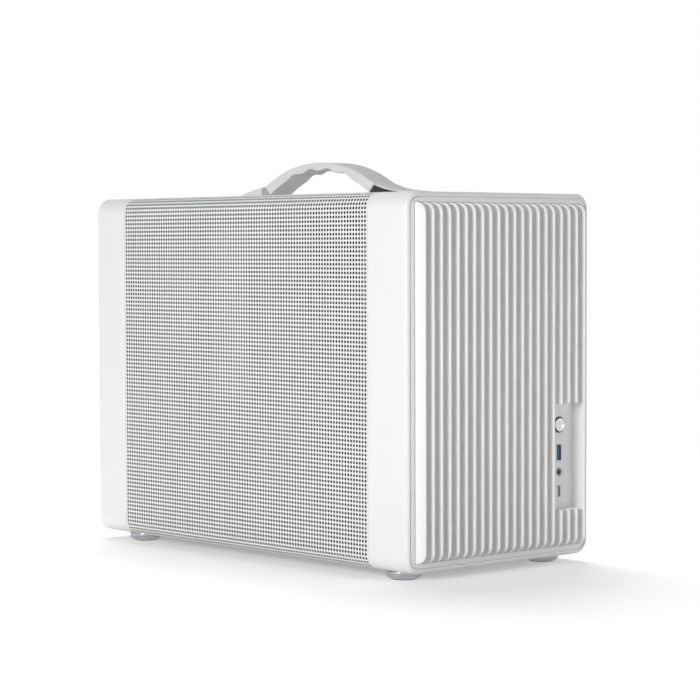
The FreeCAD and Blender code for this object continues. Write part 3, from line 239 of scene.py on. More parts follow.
@dataclass
class MeshDraft:
    """Points in millimetres and faces of a mesh in the making."""

    points: list[Triple] = field(default_factory=list)
    faces: Faces = field(default_factory=list)

    def add_points(self, points: Iterable[Sequence[float]]) -> int:
        """Append points.

        Args:
            points: The new points.

        Returns:
            The index of the first one.
        """
        start = len(self.points)
        self.points.extend(tuple(point) for point in points)
        return start

    def loft(self, rings: Sequence[Sequence[Triple]]) -> None:
        """Join rings of points with quads, in order, and close both ends.

        Args:
            rings: Rings with as many points each. Each runs counter-clockwise for a viewer whom the last
                ring faces.
        """
        count = len(rings[0])
        starts = [self.add_points(ring) for ring in rings]
        for first, second in zip(starts, starts[1:]):
            for step in range(count):
                after = (step + 1) % count
                self.faces.append((first + step, first + after, second + after, second + step))
        self.faces.append(tuple(range(starts[0] + count - 1, starts[0] - 1, -1)))
        self.faces.append(tuple(range(starts[-1], starts[-1] + count)))

    def piece(
        self, name: str, finish: Finish, body: Body, slot: str, replaced: Sequence[str] = ()
    ) -> None:
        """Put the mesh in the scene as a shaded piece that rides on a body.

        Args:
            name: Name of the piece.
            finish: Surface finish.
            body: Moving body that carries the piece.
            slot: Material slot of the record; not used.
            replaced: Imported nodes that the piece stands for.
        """
        mesh = bpy.data.meshes.new(name)
        points = np.asarray(self.points, dtype=float) * MM
        mesh.from_pydata(points.tolist(), [], self.faces)
        mesh.validate()
        mesh.update()
        mesh.shade_smooth()
        mesh.set_sharp_from_angle(angle=SHARP_ANGLE)
        mesh.materials.append(finish.material())
        piece = bpy.data.objects.new(name, mesh)
        bpy.context.scene.collection.objects.link(piece)
        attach(piece, body.value)
        if replaced:
            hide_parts(*replaced)
        LOG.info("%s: %d faces on %s", name, len(mesh.polygons), body.value)


def grid_edge(columns: range, rows: range, stride: int) -> list[int]:
    """Return the points round part of a grid: along the first row, then the last column, and back.

    Args:
        columns: Columns of points.
        rows: Rows of points.
        stride: Points in a whole row of the grid.

    Returns:
        The indices of the points.
    """
    edge = [rows[0] * stride + column for column in columns]
    edge += [row * stride + columns[-1] for row in rows[1:]]
    edge += [rows[-1] * stride + column for column in columns[-2::-1]]
    edge += [row * stride + columns[0] for row in rows[-2:0:-1]]
    return edge


def dress(nodes: Iterable[str], finish: Finish) -> None:
    """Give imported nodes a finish.

    Args:
        nodes: Names of the nodes.
        finish: Surface finish.
    """
    for node in nodes:
        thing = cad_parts[node]
        thing.data.materials.clear()
        thing.data.materials.append(finish.material())
        LOG.info("%s dressed with %s", node, finish.name)


@dataclass
class SidePanel:
    """Perforated steel side that wraps the top and bottom bends of the case.

    The holes lie in a grid along the depth (along_y) and down the section (along_s).
    """

    side: Side
    bend_radius: float = 12.0
    steel: float = 1.0
    hole_pitch: float = 3.3
    hole_radius: float = 1.26
    hole_wall: float = 0.2
    # Radius of the holes in the near-black sheet that paints the shade behind the skin
    shade_hole_radius: float = 0.5
    along_y: np.ndarray = field(init=False)
    along_s: np.ndarray = field(init=False)

    def __post_init__(self) -> None:
        """Lay the grid's lines, with the sheet's edges as the outermost ones."""
        low_y, high_y = node_span(self.node, 1)
        flange, bend, flat = self._lengths()
        columns = int((high_y - low_y) / self.hole_pitch)
        rows = int((flat + 2 * bend) / self.hole_pitch)
        middle_y, middle_s = (low_y + high_y) / 2, flange + bend + flat / 2
        inner_y = middle_y + (np.arange(columns + 1) - columns / 2) * self.hole_pitch
        inner_s = middle_s + (np.arange(rows + 1) - rows / 2) * self.hole_pitch
        self.along_y = np.r_[low_y, inner_y, high_y]
        self.along_s = np.r_[0.0, inner_s, 2 * middle_s]

    @property
    def node(self) -> str:
        """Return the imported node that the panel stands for."""
        return f"{self.side.label}_panel"

    def build(self) -> None:
        """Make the outer skin with the holes' walls, and the near-black sheet behind it that paints the
        shade inside the case.
        """
        body = Body.LEFT_SIDE if self.side is Side.LEFT else Body.RIGHT_SIDE
        self._skin().piece(f"{self.node}_skin", WHITE_COAT, body, "white_steel", [self.node])
        # Near-black sheet with small holes behind the skin: painted shade seen through the holes
        self._shade_lining().piece(f"{self.node}_shade_lining", PAINTED_HOLE_SHADE, body, "black_steel")

    def _lengths(self) -> Triple:
        """Work out the stretches of the section.

        Returns:
            The lengths of the flange, of a bend and of the flat wall.
        """
        flange = node_size(self.node, 0) - self.bend_radius
        flat = node_size(self.node, 2) - 2 * self.bend_radius
        return flange, QUARTER * self.bend_radius, flat

    def _surface(self, place_y: np.ndarray, place_s: np.ndarray, sink: float) -> np.ndarray:
        """Return points of the section swept along the depth.

        Args:
            place_y: Places along the depth.
            place_s: Places down the section from the top flange's edge.
            sink: Depth below the outer face.

        Returns:
            An array of points in millimetres.
        """
        flange, bend, flat = self._lengths()
        high_z = node_span(self.node, 2)[1]
        reach = max(abs(place) for place in node_span(self.node, 0))
        turn = np.clip((place_s - flange) / self.bend_radius, 0, QUARTER)
        turn = turn + np.clip((place_s - flange - bend - flat) / self.bend_radius, 0, QUARTER)
        out, up = np.sin(turn), np.cos(turn)
        centre_x = reach - self.bend_radius
        over_top = np.clip(flange - place_s, 0, None)
        past_low = np.clip(place_s - flange - 2 * bend - flat, 0, None)
        x = centre_x - over_top - past_low + (self.bend_radius - sink) * out
        down = np.clip(place_s - flange - bend, 0, flat)
        z = high_z - self.bend_radius - down + (self.bend_radius - sink) * up
        return np.stack([self.side.value * x, place_y, z], axis=-1)

    def _holes(self, sink: float, radius: float) -> np.ndarray:
        """Return the corner points of every hole, hole by hole.

        Args:
            sink: Depth below the outer face.
            radius: Radius of the holes.

        Returns:
            An array of points in millimetres.
        """
        mid_y = (self.along_y[1:-2] + self.along_y[2:-1]) / 2
        mid_s = (self.along_s[1:-2] + self.along_s[2:-1]) / 2
        turn = (np.arange(HOLE_SIDES) + 0.5) * 2 * math.pi / HOLE_SIDES
        grid_s, grid_y, grid_t = np.meshgrid(mid_s, mid_y, turn, indexing="ij")
        holes_y = grid_y + radius * np.cos(grid_t)
        holes_s = grid_s + radius * np.sin(grid_t)
        return self._surface(holes_y, holes_s, sink).reshape(-1, 3)

    def _corners(self, sink: float) -> np.ndarray:
        """Return the grid's corner points, row by row, at a depth below the outer face."""
        grid_s, grid_y = np.meshgrid(self.along_s, self.along_y, indexing="ij")
        return self._surface(grid_y, grid_s, sink).reshape(-1, 3)

    def _face_list(self, first_hole: int) -> Faces:
        """Return the faces of one pierced sheet, counter-clockwise in depth and section.

        Args:
            first_hole: Index of the first hole's first corner point.

        Returns:
            The faces, plain cells at the rim and pierced ones inside.
        """
        faces: Faces = []
        columns, rows = len(self.along_y) - 1, len(self.along_s) - 1
        for row in range(rows):
            for column in range(columns):
                c2 = row * (columns + 1) + column
                c3, c1, c0 = c2 + 1, c2 + columns + 1, c2 + columns + 2
                if row in (0, rows - 1) or column in (0, columns - 1):
                    faces.append((c2, c3, c0, c1))
                    continue
                start = first_hole + ((row - 1) * (columns - 2) + column - 1) * HOLE_SIDES
                h0, h1, h2, h3, h4, h5 = range(start, start + HOLE_SIDES)
                faces += [(c0, h1, h0), (c0, c1, h1), (c1, h2, h1), (c1, c2, h3, h2)]
                faces += [(c2, h4, h3), (c2, c3, h4), (c3, h5, h4), (c3, c0, h0, h5)]
        return faces

    def _skin(self) -> MeshDraft:
        """Draw the outer face.

        Returns:
            The face with the walls of the holes and of the rim.
        """
        draft = MeshDraft()
        draft.add_points(self._corners(0.0))
        outer = draft.add_points(self._holes(0.0, self.hole_radius))
        inner = draft.add_points(self._holes(self.hole_wall, self.hole_radius))
        faces = self._face_list(outer)
        for start in range(0, inner - outer, HOLE_SIDES):
            for step in range(HOLE_SIDES):
                here, after = start + step, start + (step + 1) % HOLE_SIDES
                faces.append((outer + here, outer + after, inner + after, inner + here))
        draft.faces = self._turned(faces + self._rim(draft))
        return draft

    def _rim(self, draft: MeshDraft) -> Faces:
        """Draw the walls round the sheet's edge.

        Args:
            draft: Mesh that starts with the grid's corner points and takes the walls' inner points.

        Returns:
            The faces of the walls.
        """
        columns = len(self.along_y)
        around = grid_edge(range(columns), range(len(self.along_s)), columns)
        start = draft.add_points(self._corners(self.steel)[around])
        faces: Faces = []
        for step, corner in enumerate(around):
            after = (step + 1) % len(around)
            faces.append((around[after], corner, start + step, start + after))
        return faces

    def _shade_lining(self) -> MeshDraft:
        """Draw the near-black sheet behind the holes: painted shade for the unlit inside of the case.

        Returns:
            The inner face of the sheet, with smaller holes.
        """
        draft = MeshDraft()
        draft.add_points(self._corners(self.steel))
        first = draft.add_points(self._holes(self.steel, self.shade_hole_radius))
        draft.faces = self._turned([face[::-1] for face in self._face_list(first)])
        return draft

    def _turned(self, faces: Faces) -> Faces:
        """Return faces that look outwards on this side of the case."""
        return faces if self.side is Side.LEFT else [face[::-1] for face in faces]


@dataclass
class FrontGrille:
    """Fluted front insert: upright ribs with quarter-round ends and the port recess cut through."""

    rib_count: int = 21
    rib_proud: float = 8.0
    crest_land: float = 1.7
    crest_round: float = 0.8
    crest_steps: int = 6
    flute_sink: float = 1.0
    flute_root: float = 1.6
    flange_thick: float = 1.5
    flange_lap: float = 3.0
    end_steps: int = 10
    flank_steps: int = 7
    root_steps: int = 4
    margin: float = 8.0
    fit_gap: float = 0.3
    recess_z: Span = (45.0, 129.0)
    recess_ribs: int = 3

    def build(self) -> None:
        """Make the insert as one mesh."""
        draft = MeshDraft()
        self._front(draft, self._section(), self._rows())
        draft.piece("front_ribs", RIB_MOULDING, Body.CASE, "white_plastic", ["front_grille"])

    @property
    def zone_half(self) -> float:
        """Return half the width that the ribs share."""
        return node_size("front_bezel", 0) / 2 - self.margin

    @property
    def pitch(self) -> float:
        """Return the distance from rib to rib."""
        return 2 * self.zone_half / self.rib_count

    def recess_x(self) -> Span:
        """Return the recess's left and right walls, at the crests' edges of two ribs."""
        right = self.zone_half - self.pitch / 2 - self.crest_land / 2
        return right - (self.recess_ribs + 1) * self.pitch + self.crest_land, right

    @property
    def flange_depth(self) -> float:
        """Return the depth of the flange's front face below the crests."""
        return node_size("front_grille", 1) - self.flange_thick

    def _half_flute(self) -> Outline:
        """Draw half a rib and half a flute.

        Returns:
            Offset from the rib's middle and depth, from the crest's middle to the flute's middle.
        """
        land = self.crest_land / 2
        half = (self.pitch - self.crest_land) / 2
        deep = self.rib_proud + self.flute_sink
        root = self.flute_root
        flank = (half**2 + (deep - root) ** 2 - root**2) / (2 * (half - root))
        meet = math.atan2(deep - root, flank - half)
        points = [(0.0, 0.0)]
        for angle in np.linspace(0, QUARTER, self.crest_steps):
            offset = land - self.crest_round * (1 - math.sin(angle))
            points.append((offset, self.crest_round * (1 - math.cos(angle))))
        first = math.asin(self.crest_round / flank)
        for angle in np.linspace(first, meet, self.flank_steps + 1)[1:]:
            offset = self.pitch / 2 - (half - flank + flank * math.cos(angle))
            points.append((offset, flank * math.sin(angle)))
        for angle in np.linspace(meet, QUARTER, self.root_steps + 1)[1:]:
            offset = self.pitch / 2 - root * math.cos(angle)
            points.append((offset, deep - root + root * math.sin(angle)))
        return points

    def _section(self) -> np.ndarray:
        """Draw the section across all the ribs.

        Returns:
            Width and depth below the crests, from the left flange to the right one.
        """
        half_flute = self._half_flute()
        points: Outline = []
        for rib in range(self.rib_count):
            middle = -self.zone_half + (rib + 0.5) * self.pitch
            points += [(middle - offset, depth) for offset, depth in half_flute[:0:-1]]
            points += [(middle + offset, depth) for offset, depth in half_flute[:-1]]
        points.append((self.zone_half, points[0][1]))
        edge = self.zone_half - self.fit_gap
        inner = [(x, depth) for x, depth in points if abs(x) < edge]
        lap = edge + self.flange_lap
        left = [(-lap, self.flange_depth), (-edge, self.flange_depth), (-edge, inner[0][1])]
        right = [(-x, depth) for x, depth in left[::-1]]
        return np.array(left + inner + right)

    def _rows(self) -> Outline:
        """Lay the rows of the face, with the ribs' round ends and the recess among them.

        Returns:
            Height and least depth there, from the low flange to the high one.
        """
        low, high = node_span("front_grille", 2)
        edge = low + self.flange_lap
        rows = [(low, self.flange_depth), (edge, self.flange_depth)]
        for angle in np.linspace(0, QUARTER, self.end_steps):
            rise = self.rib_proud * (1 - math.cos(angle))
            rows.append((edge + rise, self.rib_proud * (1 - math.sin(angle))))
        middle = [(self.recess_z[0], 0.0), (self.recess_z[1], 0.0)]
        upper = [(low + high - height, depth) for height, depth in rows[::-1]]
        return rows + middle + upper

    def _front(self, draft: MeshDraft, section: np.ndarray, rows: Outline) -> None:
        """Fill the draft with the fluted face, the recess's walls, the rim and the rear face.

        Args:
            draft: Mesh in the making.
            section: Width and depth of the section's points.
            rows: Height and least depth of each row.
        """
        crest_y, back_y = node_span("front_grille", 1)
        count = len(section)
        for height, least in rows:
            draft.add_points((x, crest_y + max(depth, least), height) for x, depth in section)
        front_total = len(draft.points)
        draft.add_points((x, back_y, height) for height, _ in rows for x, _ in section)
        left, right = self.recess_x()
        hole_columns = [
            column for column in range(count - 1)
            if section[column][0] > left - TOLERANCE and section[column + 1][0] < right + TOLERANCE
        ]
        hole_row = rows.index((self.recess_z[0], 0.0))
        for row in range(len(rows) - 1):
            for column in range(count - 1):
                if row == hole_row and column in hole_columns:
                    continue
                here = row * count + column
                quad = (here, here + 1, here + count + 1, here + count)
                draft.faces.append(quad)
                draft.faces.append(tuple(front_total + index for index in quad[::-1]))
        # Walls join the two faces clockwise round the outside and counter-clockwise round the recess
        outside = grid_edge(range(count), range(len(rows)), count)[::-1]
        hole_points = range(hole_columns[0], hole_columns[-1] + 2)
        recess = grid_edge(hole_points, range(hole_row, hole_row + 2), count)
        for path in (outside, recess):
            for here, after in zip(path, path[1:] + path[:1]):
                draft.faces.append((here, after, front_total + after, front_total + here))


@dataclass
class CarryStrap:
    """Flexible moulded handle: arched grip with finger dents, thin front leaf with a lip, rear ramp."""

    span: float = 136.0
    rise: float = 28.47
    shoulder: float = 10.3
    leaf: float = 31.0
    leaf_sag: float = 1.1
    leaf_foot: float = 5.0
    leaf_thick: float = 1.5
    lip_long: float = 19.0
    lip_thick: float = 3.9
    lip_tip: float = 2.4
    notch_wide: float = 5.5
    ramp_long: float = 25.0
    ramp_drop: float = 0.8
    ramp_low: float = 4.2
    grip_thick: float = 7.0
    grip_end_clear: float = 2.6
    grip_end_slope: float = 7.0
    finger_count: int = 4
    finger_pitch: float = 21.3
    finger_dent: float = 1.1
    flex_count: int = 3
    flex_pitch: float = 3.4
    flex_place: float = 55.6
    flex_wide: float = 2.4
    flex_depth: float = 0.9
    edge_round: float = 0.9
    round_share: float = 0.45
    round_steps: int = 5
    station_step: float = 0.5
    step_width: float = 0.02

    def build(self) -> None:
        """Make the strap as one mesh of sections along its length, and dress the dark core."""
        front_y, rear_y = node_span("handle", 1)
        middle = front_y + self.lip_end
        base = node_span("handle", 2)[0]
        half_wide = node_size("handle", 0) / 2
        rings = []
        for place in self._stations(rear_y - middle)[::-1]:
            ring = self._ring(half_wide, self._under(place), self._upper(place))
            rings.append([(x, middle + place, base + z) for x, z in ring])
        draft = MeshDraft()
        draft.loft(rings)
        draft.piece("carry_strap", STRAP_SOFT, Body.CASE, "soft_white", ["handle"])
        dress(["handle_core"], RUBBER)

    @property
    def half(self) -> float:
        """Return half the grip's length."""
        return self.span / 2

    @property
    def grip_half(self) -> float:
        """Return half the length of the grip's underside."""
        return self.half - self.grip_end_slope + self.leaf_thick

    @property
    def lip(self) -> float:
        """Return how far forward of the middle the lip starts."""
        return self.half + self.leaf

    @property
    def lip_end(self) -> float:
        """Return how far forward of the middle the lip ends."""
        return self.lip + self.lip_long

    @property
    def ramp(self) -> float:
        """Return how far behind the middle the ramp starts."""
        return self.half + self.notch_wide

    def _stations(self, rear: float) -> np.ndarray:
        """Return the places of the sections, with each change of shape among them.

        Args:
            rear: Place of the ramp's rear end.

        Returns:
            The places from front to rear, counted from the grip's middle.
        """
        even = np.arange(-self.lip_end, rear, self.station_step)
        marks = [-self.lip, -self.lip - self.leaf_foot, -self.half, -self.grip_half]
        marks += [self.grip_half, self.half, self.ramp - self.step_width, self.ramp, rear]
        return np.unique(np.round(np.r_[even, marks], PLACE_DIGITS))

    def _leaf_top(self, near: float) -> float:
        """Return the height of the front leaf's upper face.

        Args:
            near: Distance from the grip's middle.

        Returns:
            The height above the roof.
        """
        share = (near - self.half) / self.leaf
        chord = self.shoulder + share * (self.lip_thick - self.shoulder)
        return chord - 4 * self.leaf_sag * share * (1 - share)

    def _upper(self, place: float) -> float:
        """Return the height of the upper face, flex grooves included.

        Args:
            place: Place from the grip's middle, rearwards.

        Returns:
            The height above the roof.
        """
        near = abs(place)
        if near < self.half:
            sag = self.rise - self.shoulder
            radius = (self.half**2 + sag**2) / (2 * sag)
            return self.rise - radius + math.sqrt(radius**2 - near**2) - self._groove(near)
        if place > self.ramp:
            share = (near - self.ramp) / self.ramp_long
            high = self.shoulder - self.ramp_drop
            return high + share * (self.ramp_low - high)
        if place > 0:
            return self.shoulder - self.ramp_drop * (near - self.half) / self.notch_wide
        if near > self.lip:
            return self.lip_thick + (near - self.lip) / self.lip_long * (self.lip_tip - self.lip_thick)
        return self._leaf_top(near)

    def _groove(self, near: float) -> float:
        """Return the depth of the flex grooves near the grip's ends.

        Args:
            near: Distance from the grip's middle.

        Returns:
            The depth below the plain upper face.
        """
        number = round((near - self.flex_place) / self.flex_pitch)
        if not 0 <= number < self.flex_count:
            return 0.0
        offset = abs(near - self.flex_place - number * self.flex_pitch) / (self.flex_wide / 2)
        return self.flex_depth * max(0.0, 1 - offset**2)

    def _under(self, place: float) -> float:
        """Return the height of the underside.

        Args:
            place: Place from the grip's middle, rearwards.

        Returns:
            The height above the roof.
        """
        near = abs(place)
        inside = self.shoulder - self.leaf_thick
        if near < self.grip_half:
            return self._grip_under(place)
        if near <= self.half:
            share = (near - self.grip_half) / (self.half - self.grip_half)
            return self.grip_end_clear + share * (inside - self.grip_end_clear)
        if place > 0:
            share = (near - self.half) / self.notch_wide
            return 0.0 if near >= self.ramp else inside - self.ramp_drop * share
        if near <= self.lip:
            return self._leaf_top(near) - self.leaf_thick
        share = (near - self.lip) / self.leaf_foot
        return max(0.0, (self.lip_thick - self.leaf_thick) * (1 - share))

    def _grip_under(self, place: float) -> float:
        """Return the height of the grip's underside with its finger dents.

        Args:
            place: Place from the grip's middle, rearwards.

        Returns:
            The height above the roof.
        """
        crown = self.rise - self.grip_thick
        sag = crown - self.grip_end_clear
        radius = (self.grip_half**2 + sag**2) / (2 * sag)
        arch = crown - radius + math.sqrt(radius**2 - place**2)
        if abs(place) >= self.finger_count * self.finger_pitch / 2:
            return arch
        return arch + self.finger_dent * (1 - math.cos(2 * math.pi * place / self.finger_pitch))

    def _ring(self, half_wide: float, low: float, high: float) -> Outline:
        """Return the rounded outline of one section.

        Args:
            half_wide: Half the strap's width.
            low: Height of the underside.
            high: Height of the upper face.

        Returns:
            The points across the strap and up.
        """
        bend = min(self.edge_round, self.round_share * (high - low))
        ring = rounded_rectangle(half_wide, (high - low) / 2, bend, self.round_steps)
        return [(x, (low + high) / 2 + z) for x, z in ring]


@dataclass
class Turned:
    """Piece turned on a lathe: a closed half outline about an axis."""

    outline: Outline
    steps: int = 72

    def draft(self, centre: Triple, along_y: bool = False) -> MeshDraft:
        """Return the mesh of the turned piece.

        Args:
            centre: Point on the axis from which the outline's heights count.
            along_y: Whether the axis runs along Y and not along Z.

        Returns:
            The mesh in the making.
        """
        turns = np.arange(self.steps) * 2 * math.pi / self.steps
        rings = []
        for radius, height in self.outline:
            ring = []
            for turn in turns:
                across, other = radius * math.cos(turn), radius * math.sin(turn)
                offset = (across, height, -other) if along_y else (across, other, height)
                ring.append(tuple(start + step for start, step in zip(centre, offset)))
            rings.append(ring)
        draft = MeshDraft()
        draft.loft(rings)
        return draft


def rounded(centre: Span, start: float, radius: float, steps: int = 5) -> Outline:
    """Return the points of a quarter turn about a centre, from a start angle in radians."""
    angles = np.linspace(start, start + QUARTER, steps)
    return [(centre[0] + radius * math.cos(a), centre[1] + radius * math.sin(a)) for a in angles]


def rounded_rectangle(half_x: float, half_z: float, bend: float, steps: int = 6) -> Outline:
    """Return the points of a rounded rectangle about the origin.

    Args:
        half_x: Half the width.
        half_z: Half the height.
        bend: Corner radius.
        steps: Points on each corner.

    Returns:
        The points, counter-clockwise.
    """
    bend = min(bend, BEND_SHARE * half_x, BEND_SHARE * half_z)
    corners = ((1, -1, -QUARTER), (1, 1, 0.0), (-1, 1, QUARTER), (-1, -1, math.pi))
    ring = []
    for sign_x, sign_z, start in corners:
        centre = (sign_x * (half_x - bend), sign_z * (half_z - bend))
        ring += rounded(centre, start, bend, steps)
    return ring


@dataclass
class Foot:
    """Bright turned foot with a rubber pad in its underside."""

    end: End
    side: Side
    chamfer: float = 2.0
    edge: float = 0.5
    pad_gap: float = 0.3
    axis_hole: float = 0.4

    def build(self) -> None:
        """Make the foot and dress its pad."""
        node = f"foot_{self.end.value}_{self.side.label}"
        pad = f"foot_pad_{self.end.value}_{self.side.label}"
        centre = (node_middle(node, 0), node_middle(node, 1), 0.0)
        radius = node_size(node, 0) / 2
        low, high = node_span(node, 2)
        seat_radius = node_size(pad, 0) / 2 + self.pad_gap
        seat = node_span(pad, 2)[1]
        top = high - self.pad_gap
        edge = self.edge
        sole, shoulder = radius - self.chamfer, low + self.chamfer
        outline = [(self.axis_hole, seat), (seat_radius, seat), (seat_radius, low)]
        outline += [(sole - edge / 2, low), (sole, low + edge / 4)]
        outline += [(radius - edge / 4, shoulder), (radius, shoulder + edge / 2)]
        outline += rounded((radius - edge, top - edge), 0.0, edge)
        outline += [(self.axis_hole, top)]
        # The feet's darkened chrome paints the dark reflection of the shade under the case
        Turned(outline).draft(centre).piece(f"{node}_turned", FOOT_CHROME_DARK_REFLECTION, Body.CASE, "chrome", [node])
        dress([pad], RUBBER)


@dataclass
class PortRecess:
    """What shows in the front recess: button, ports and the plate behind them."""

    dish: float = 0.5
    dish_steps: int = 4
    button_edge: float = 0.4
    edge_steps: int = 6
    collar_rim: float = 0.8
    collar_sink: float = 0.5
    flange: float = 1.2
    stem_radius: float = 2.0
    stem_long: float = 2.0
    axis_hole: float = 0.2
    usb_a_bend: float = 0.6
    usb_c_bend: float = 1.5
    least_bend: float = 0.2
    shell_wall: float = 0.5
    shell_floor: float = 1.0
    tongue_thick: float = 1.9
    tongue_margin: float = 1.5
    full_tongue_half: float = 2.9

    def build(self) -> None:
        """Make the button and ports, and dress the rest."""
        self._button()
        self._port("usb_a_port", self.usb_a_bend, BLUE_PLASTIC)
        self._port("usb_c_port", self.usb_c_bend, GREY_PLASTIC)
        dress(["io_panel"], WHITE_MOULDING)
        dress(["audio_jack"], GREY_PLASTIC)
        dress(["power_switch"], BLACK_PLASTIC)
        dress(["io_board"], BOARD_MASK)

    def _button(self) -> None:
        """Make the button: dished bright cap on a dark flange and stem."""
        flange_radius = node_size("power_button", 0) / 2
        radius = flange_radius - self.flange
        back = node_size("power_button", 1)
        seat = back - self.stem_long - self.flange
        front_y = node_span("power_button", 1)[0]
        centre = (node_middle("power_button", 0), front_y, node_middle("power_button", 2))
        edge = self.button_edge
        face = radius - self.collar_rim
        cap = [(self.axis_hole, self.dish)]
        for step in range(1, self.dish_steps):
            share = step / self.dish_steps
            cap.append((share * face, self.dish * (1 - share**2)))
        for angle in np.linspace(QUARTER, 0, self.edge_steps):
            cap.append((face - edge + edge * math.cos(angle), edge - edge * math.sin(angle)))
        cap += [(face, self.collar_sink + edge), (self.axis_hole, self.collar_sink + edge)]
        draft = Turned(cap).draft(centre, along_y=True)
        draft.piece("power_button_cap", BUTTON_CHROME, Body.BUTTON, "chrome", ["power_button"])
        stem = [(self.axis_hole, self.collar_sink), (radius - edge, self.collar_sink)]
        stem += [(radius, self.collar_sink + edge), (radius, seat)]
        stem += [(flange_radius, seat), (flange_radius, seat + self.flange)]
        stem += [(self.stem_radius, seat + self.flange), (self.stem_radius, back), (self.axis_hole, back)]
        draft = Turned(stem).draft(centre, along_y=True)
        draft.piece("power_button_stem", BLACK_PLASTIC, Body.BUTTON, "black_plastic")

    def _port(self, node: str, bend: float, tongue_finish: Finish) -> None:
        """Make a port's drawn shell and its tongue.

        Args:
            node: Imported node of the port.
            bend: Radius of the shell's corners.
            tongue_finish: Finish of the tongue.
        """
        low_y, high_y = node_span(node, 1)
        floor_y = high_y - self.shell_floor
        half_x, half_z = node_size(node, 0) / 2, node_size(node, 2) / 2
        wall = self.shell_wall
        outer = rounded_rectangle(half_x, half_z, bend)
        inner = rounded_rectangle(half_x - wall, half_z - wall, max(bend - wall, self.least_bend))
        shell = ((outer, high_y), (outer, low_y), (inner, low_y), (inner, floor_y))
        draft = self._tube(node, shell)
        draft.piece(f"{node}_shell", SHELL_STEEL, Body.CASE, "port_steel", [node])
        tongue_half = self.tongue_thick / 2 * min(1.0, half_x / self.full_tongue_half)
        tongue = rounded_rectangle(tongue_half, half_z - self.tongue_margin, self.least_bend)
        block = self._tube(node, ((tongue, floor_y), (tongue, low_y + wall)))
        block.piece(f"{node}_tongue", tongue_finish, Body.CASE, "black_plastic")

    @staticmethod
    def _tube(node: str, stations: Sequence[tuple[Outline, float]]) -> MeshDraft:
        """Join outlines about the middle of a node.

        Args:
            node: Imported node.
            stations: Each outline, across and up, with its place along the depth.

        Returns:
            The mesh in the making.
        """
        middle_x, middle_z = node_middle(node, 0), node_middle(node, 2)
        draft = MeshDraft()
        draft.loft([
            [(middle_x + x, place_y, middle_z + z) for x, z in outline] for outline, place_y in stations
        ])
        return draft


@dataclass
class Chassis:
    """Caps, roof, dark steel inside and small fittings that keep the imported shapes."""

    groups: Sequence[tuple[Finish, Sequence[str]]] = (
        (WHITE_MOULDING, ("front_bezel", "rear_bezel")),
        (WHITE_COAT, ("top_panel",)),
        (DARK_COAT, (
            "rear_panel", "front_frame", "floor_pan", "motherboard_tray", "psu_bracket", "drive_bracket",
            "slot_cover_1", "slot_cover_2", "slot_cover_3", "slot_cover_4", "slot_retainer",
            "handle_plate_front", "handle_plate_rear",
        )),
        (BLACK_PLASTIC, ("power_inlet", "left_clips", "right_clips")),
        (ZINC, (
            "left_studs", "right_studs", "foot_screws", "handle_screws", "inlet_screws",
            "retainer_screws",
        )),
        (BRASS, ("standoffs",)),
    )

    def dress(self) -> None:
        """Give each group its finish."""
        for finish, nodes in self.groups:
            dress(nodes, finish)


@dataclass(frozen=True)
class SoftLamp:
    """Square soft lamp. Lengths are metres and the power is in watts."""

    name: str
    place: Triple
    side: float
    power: float


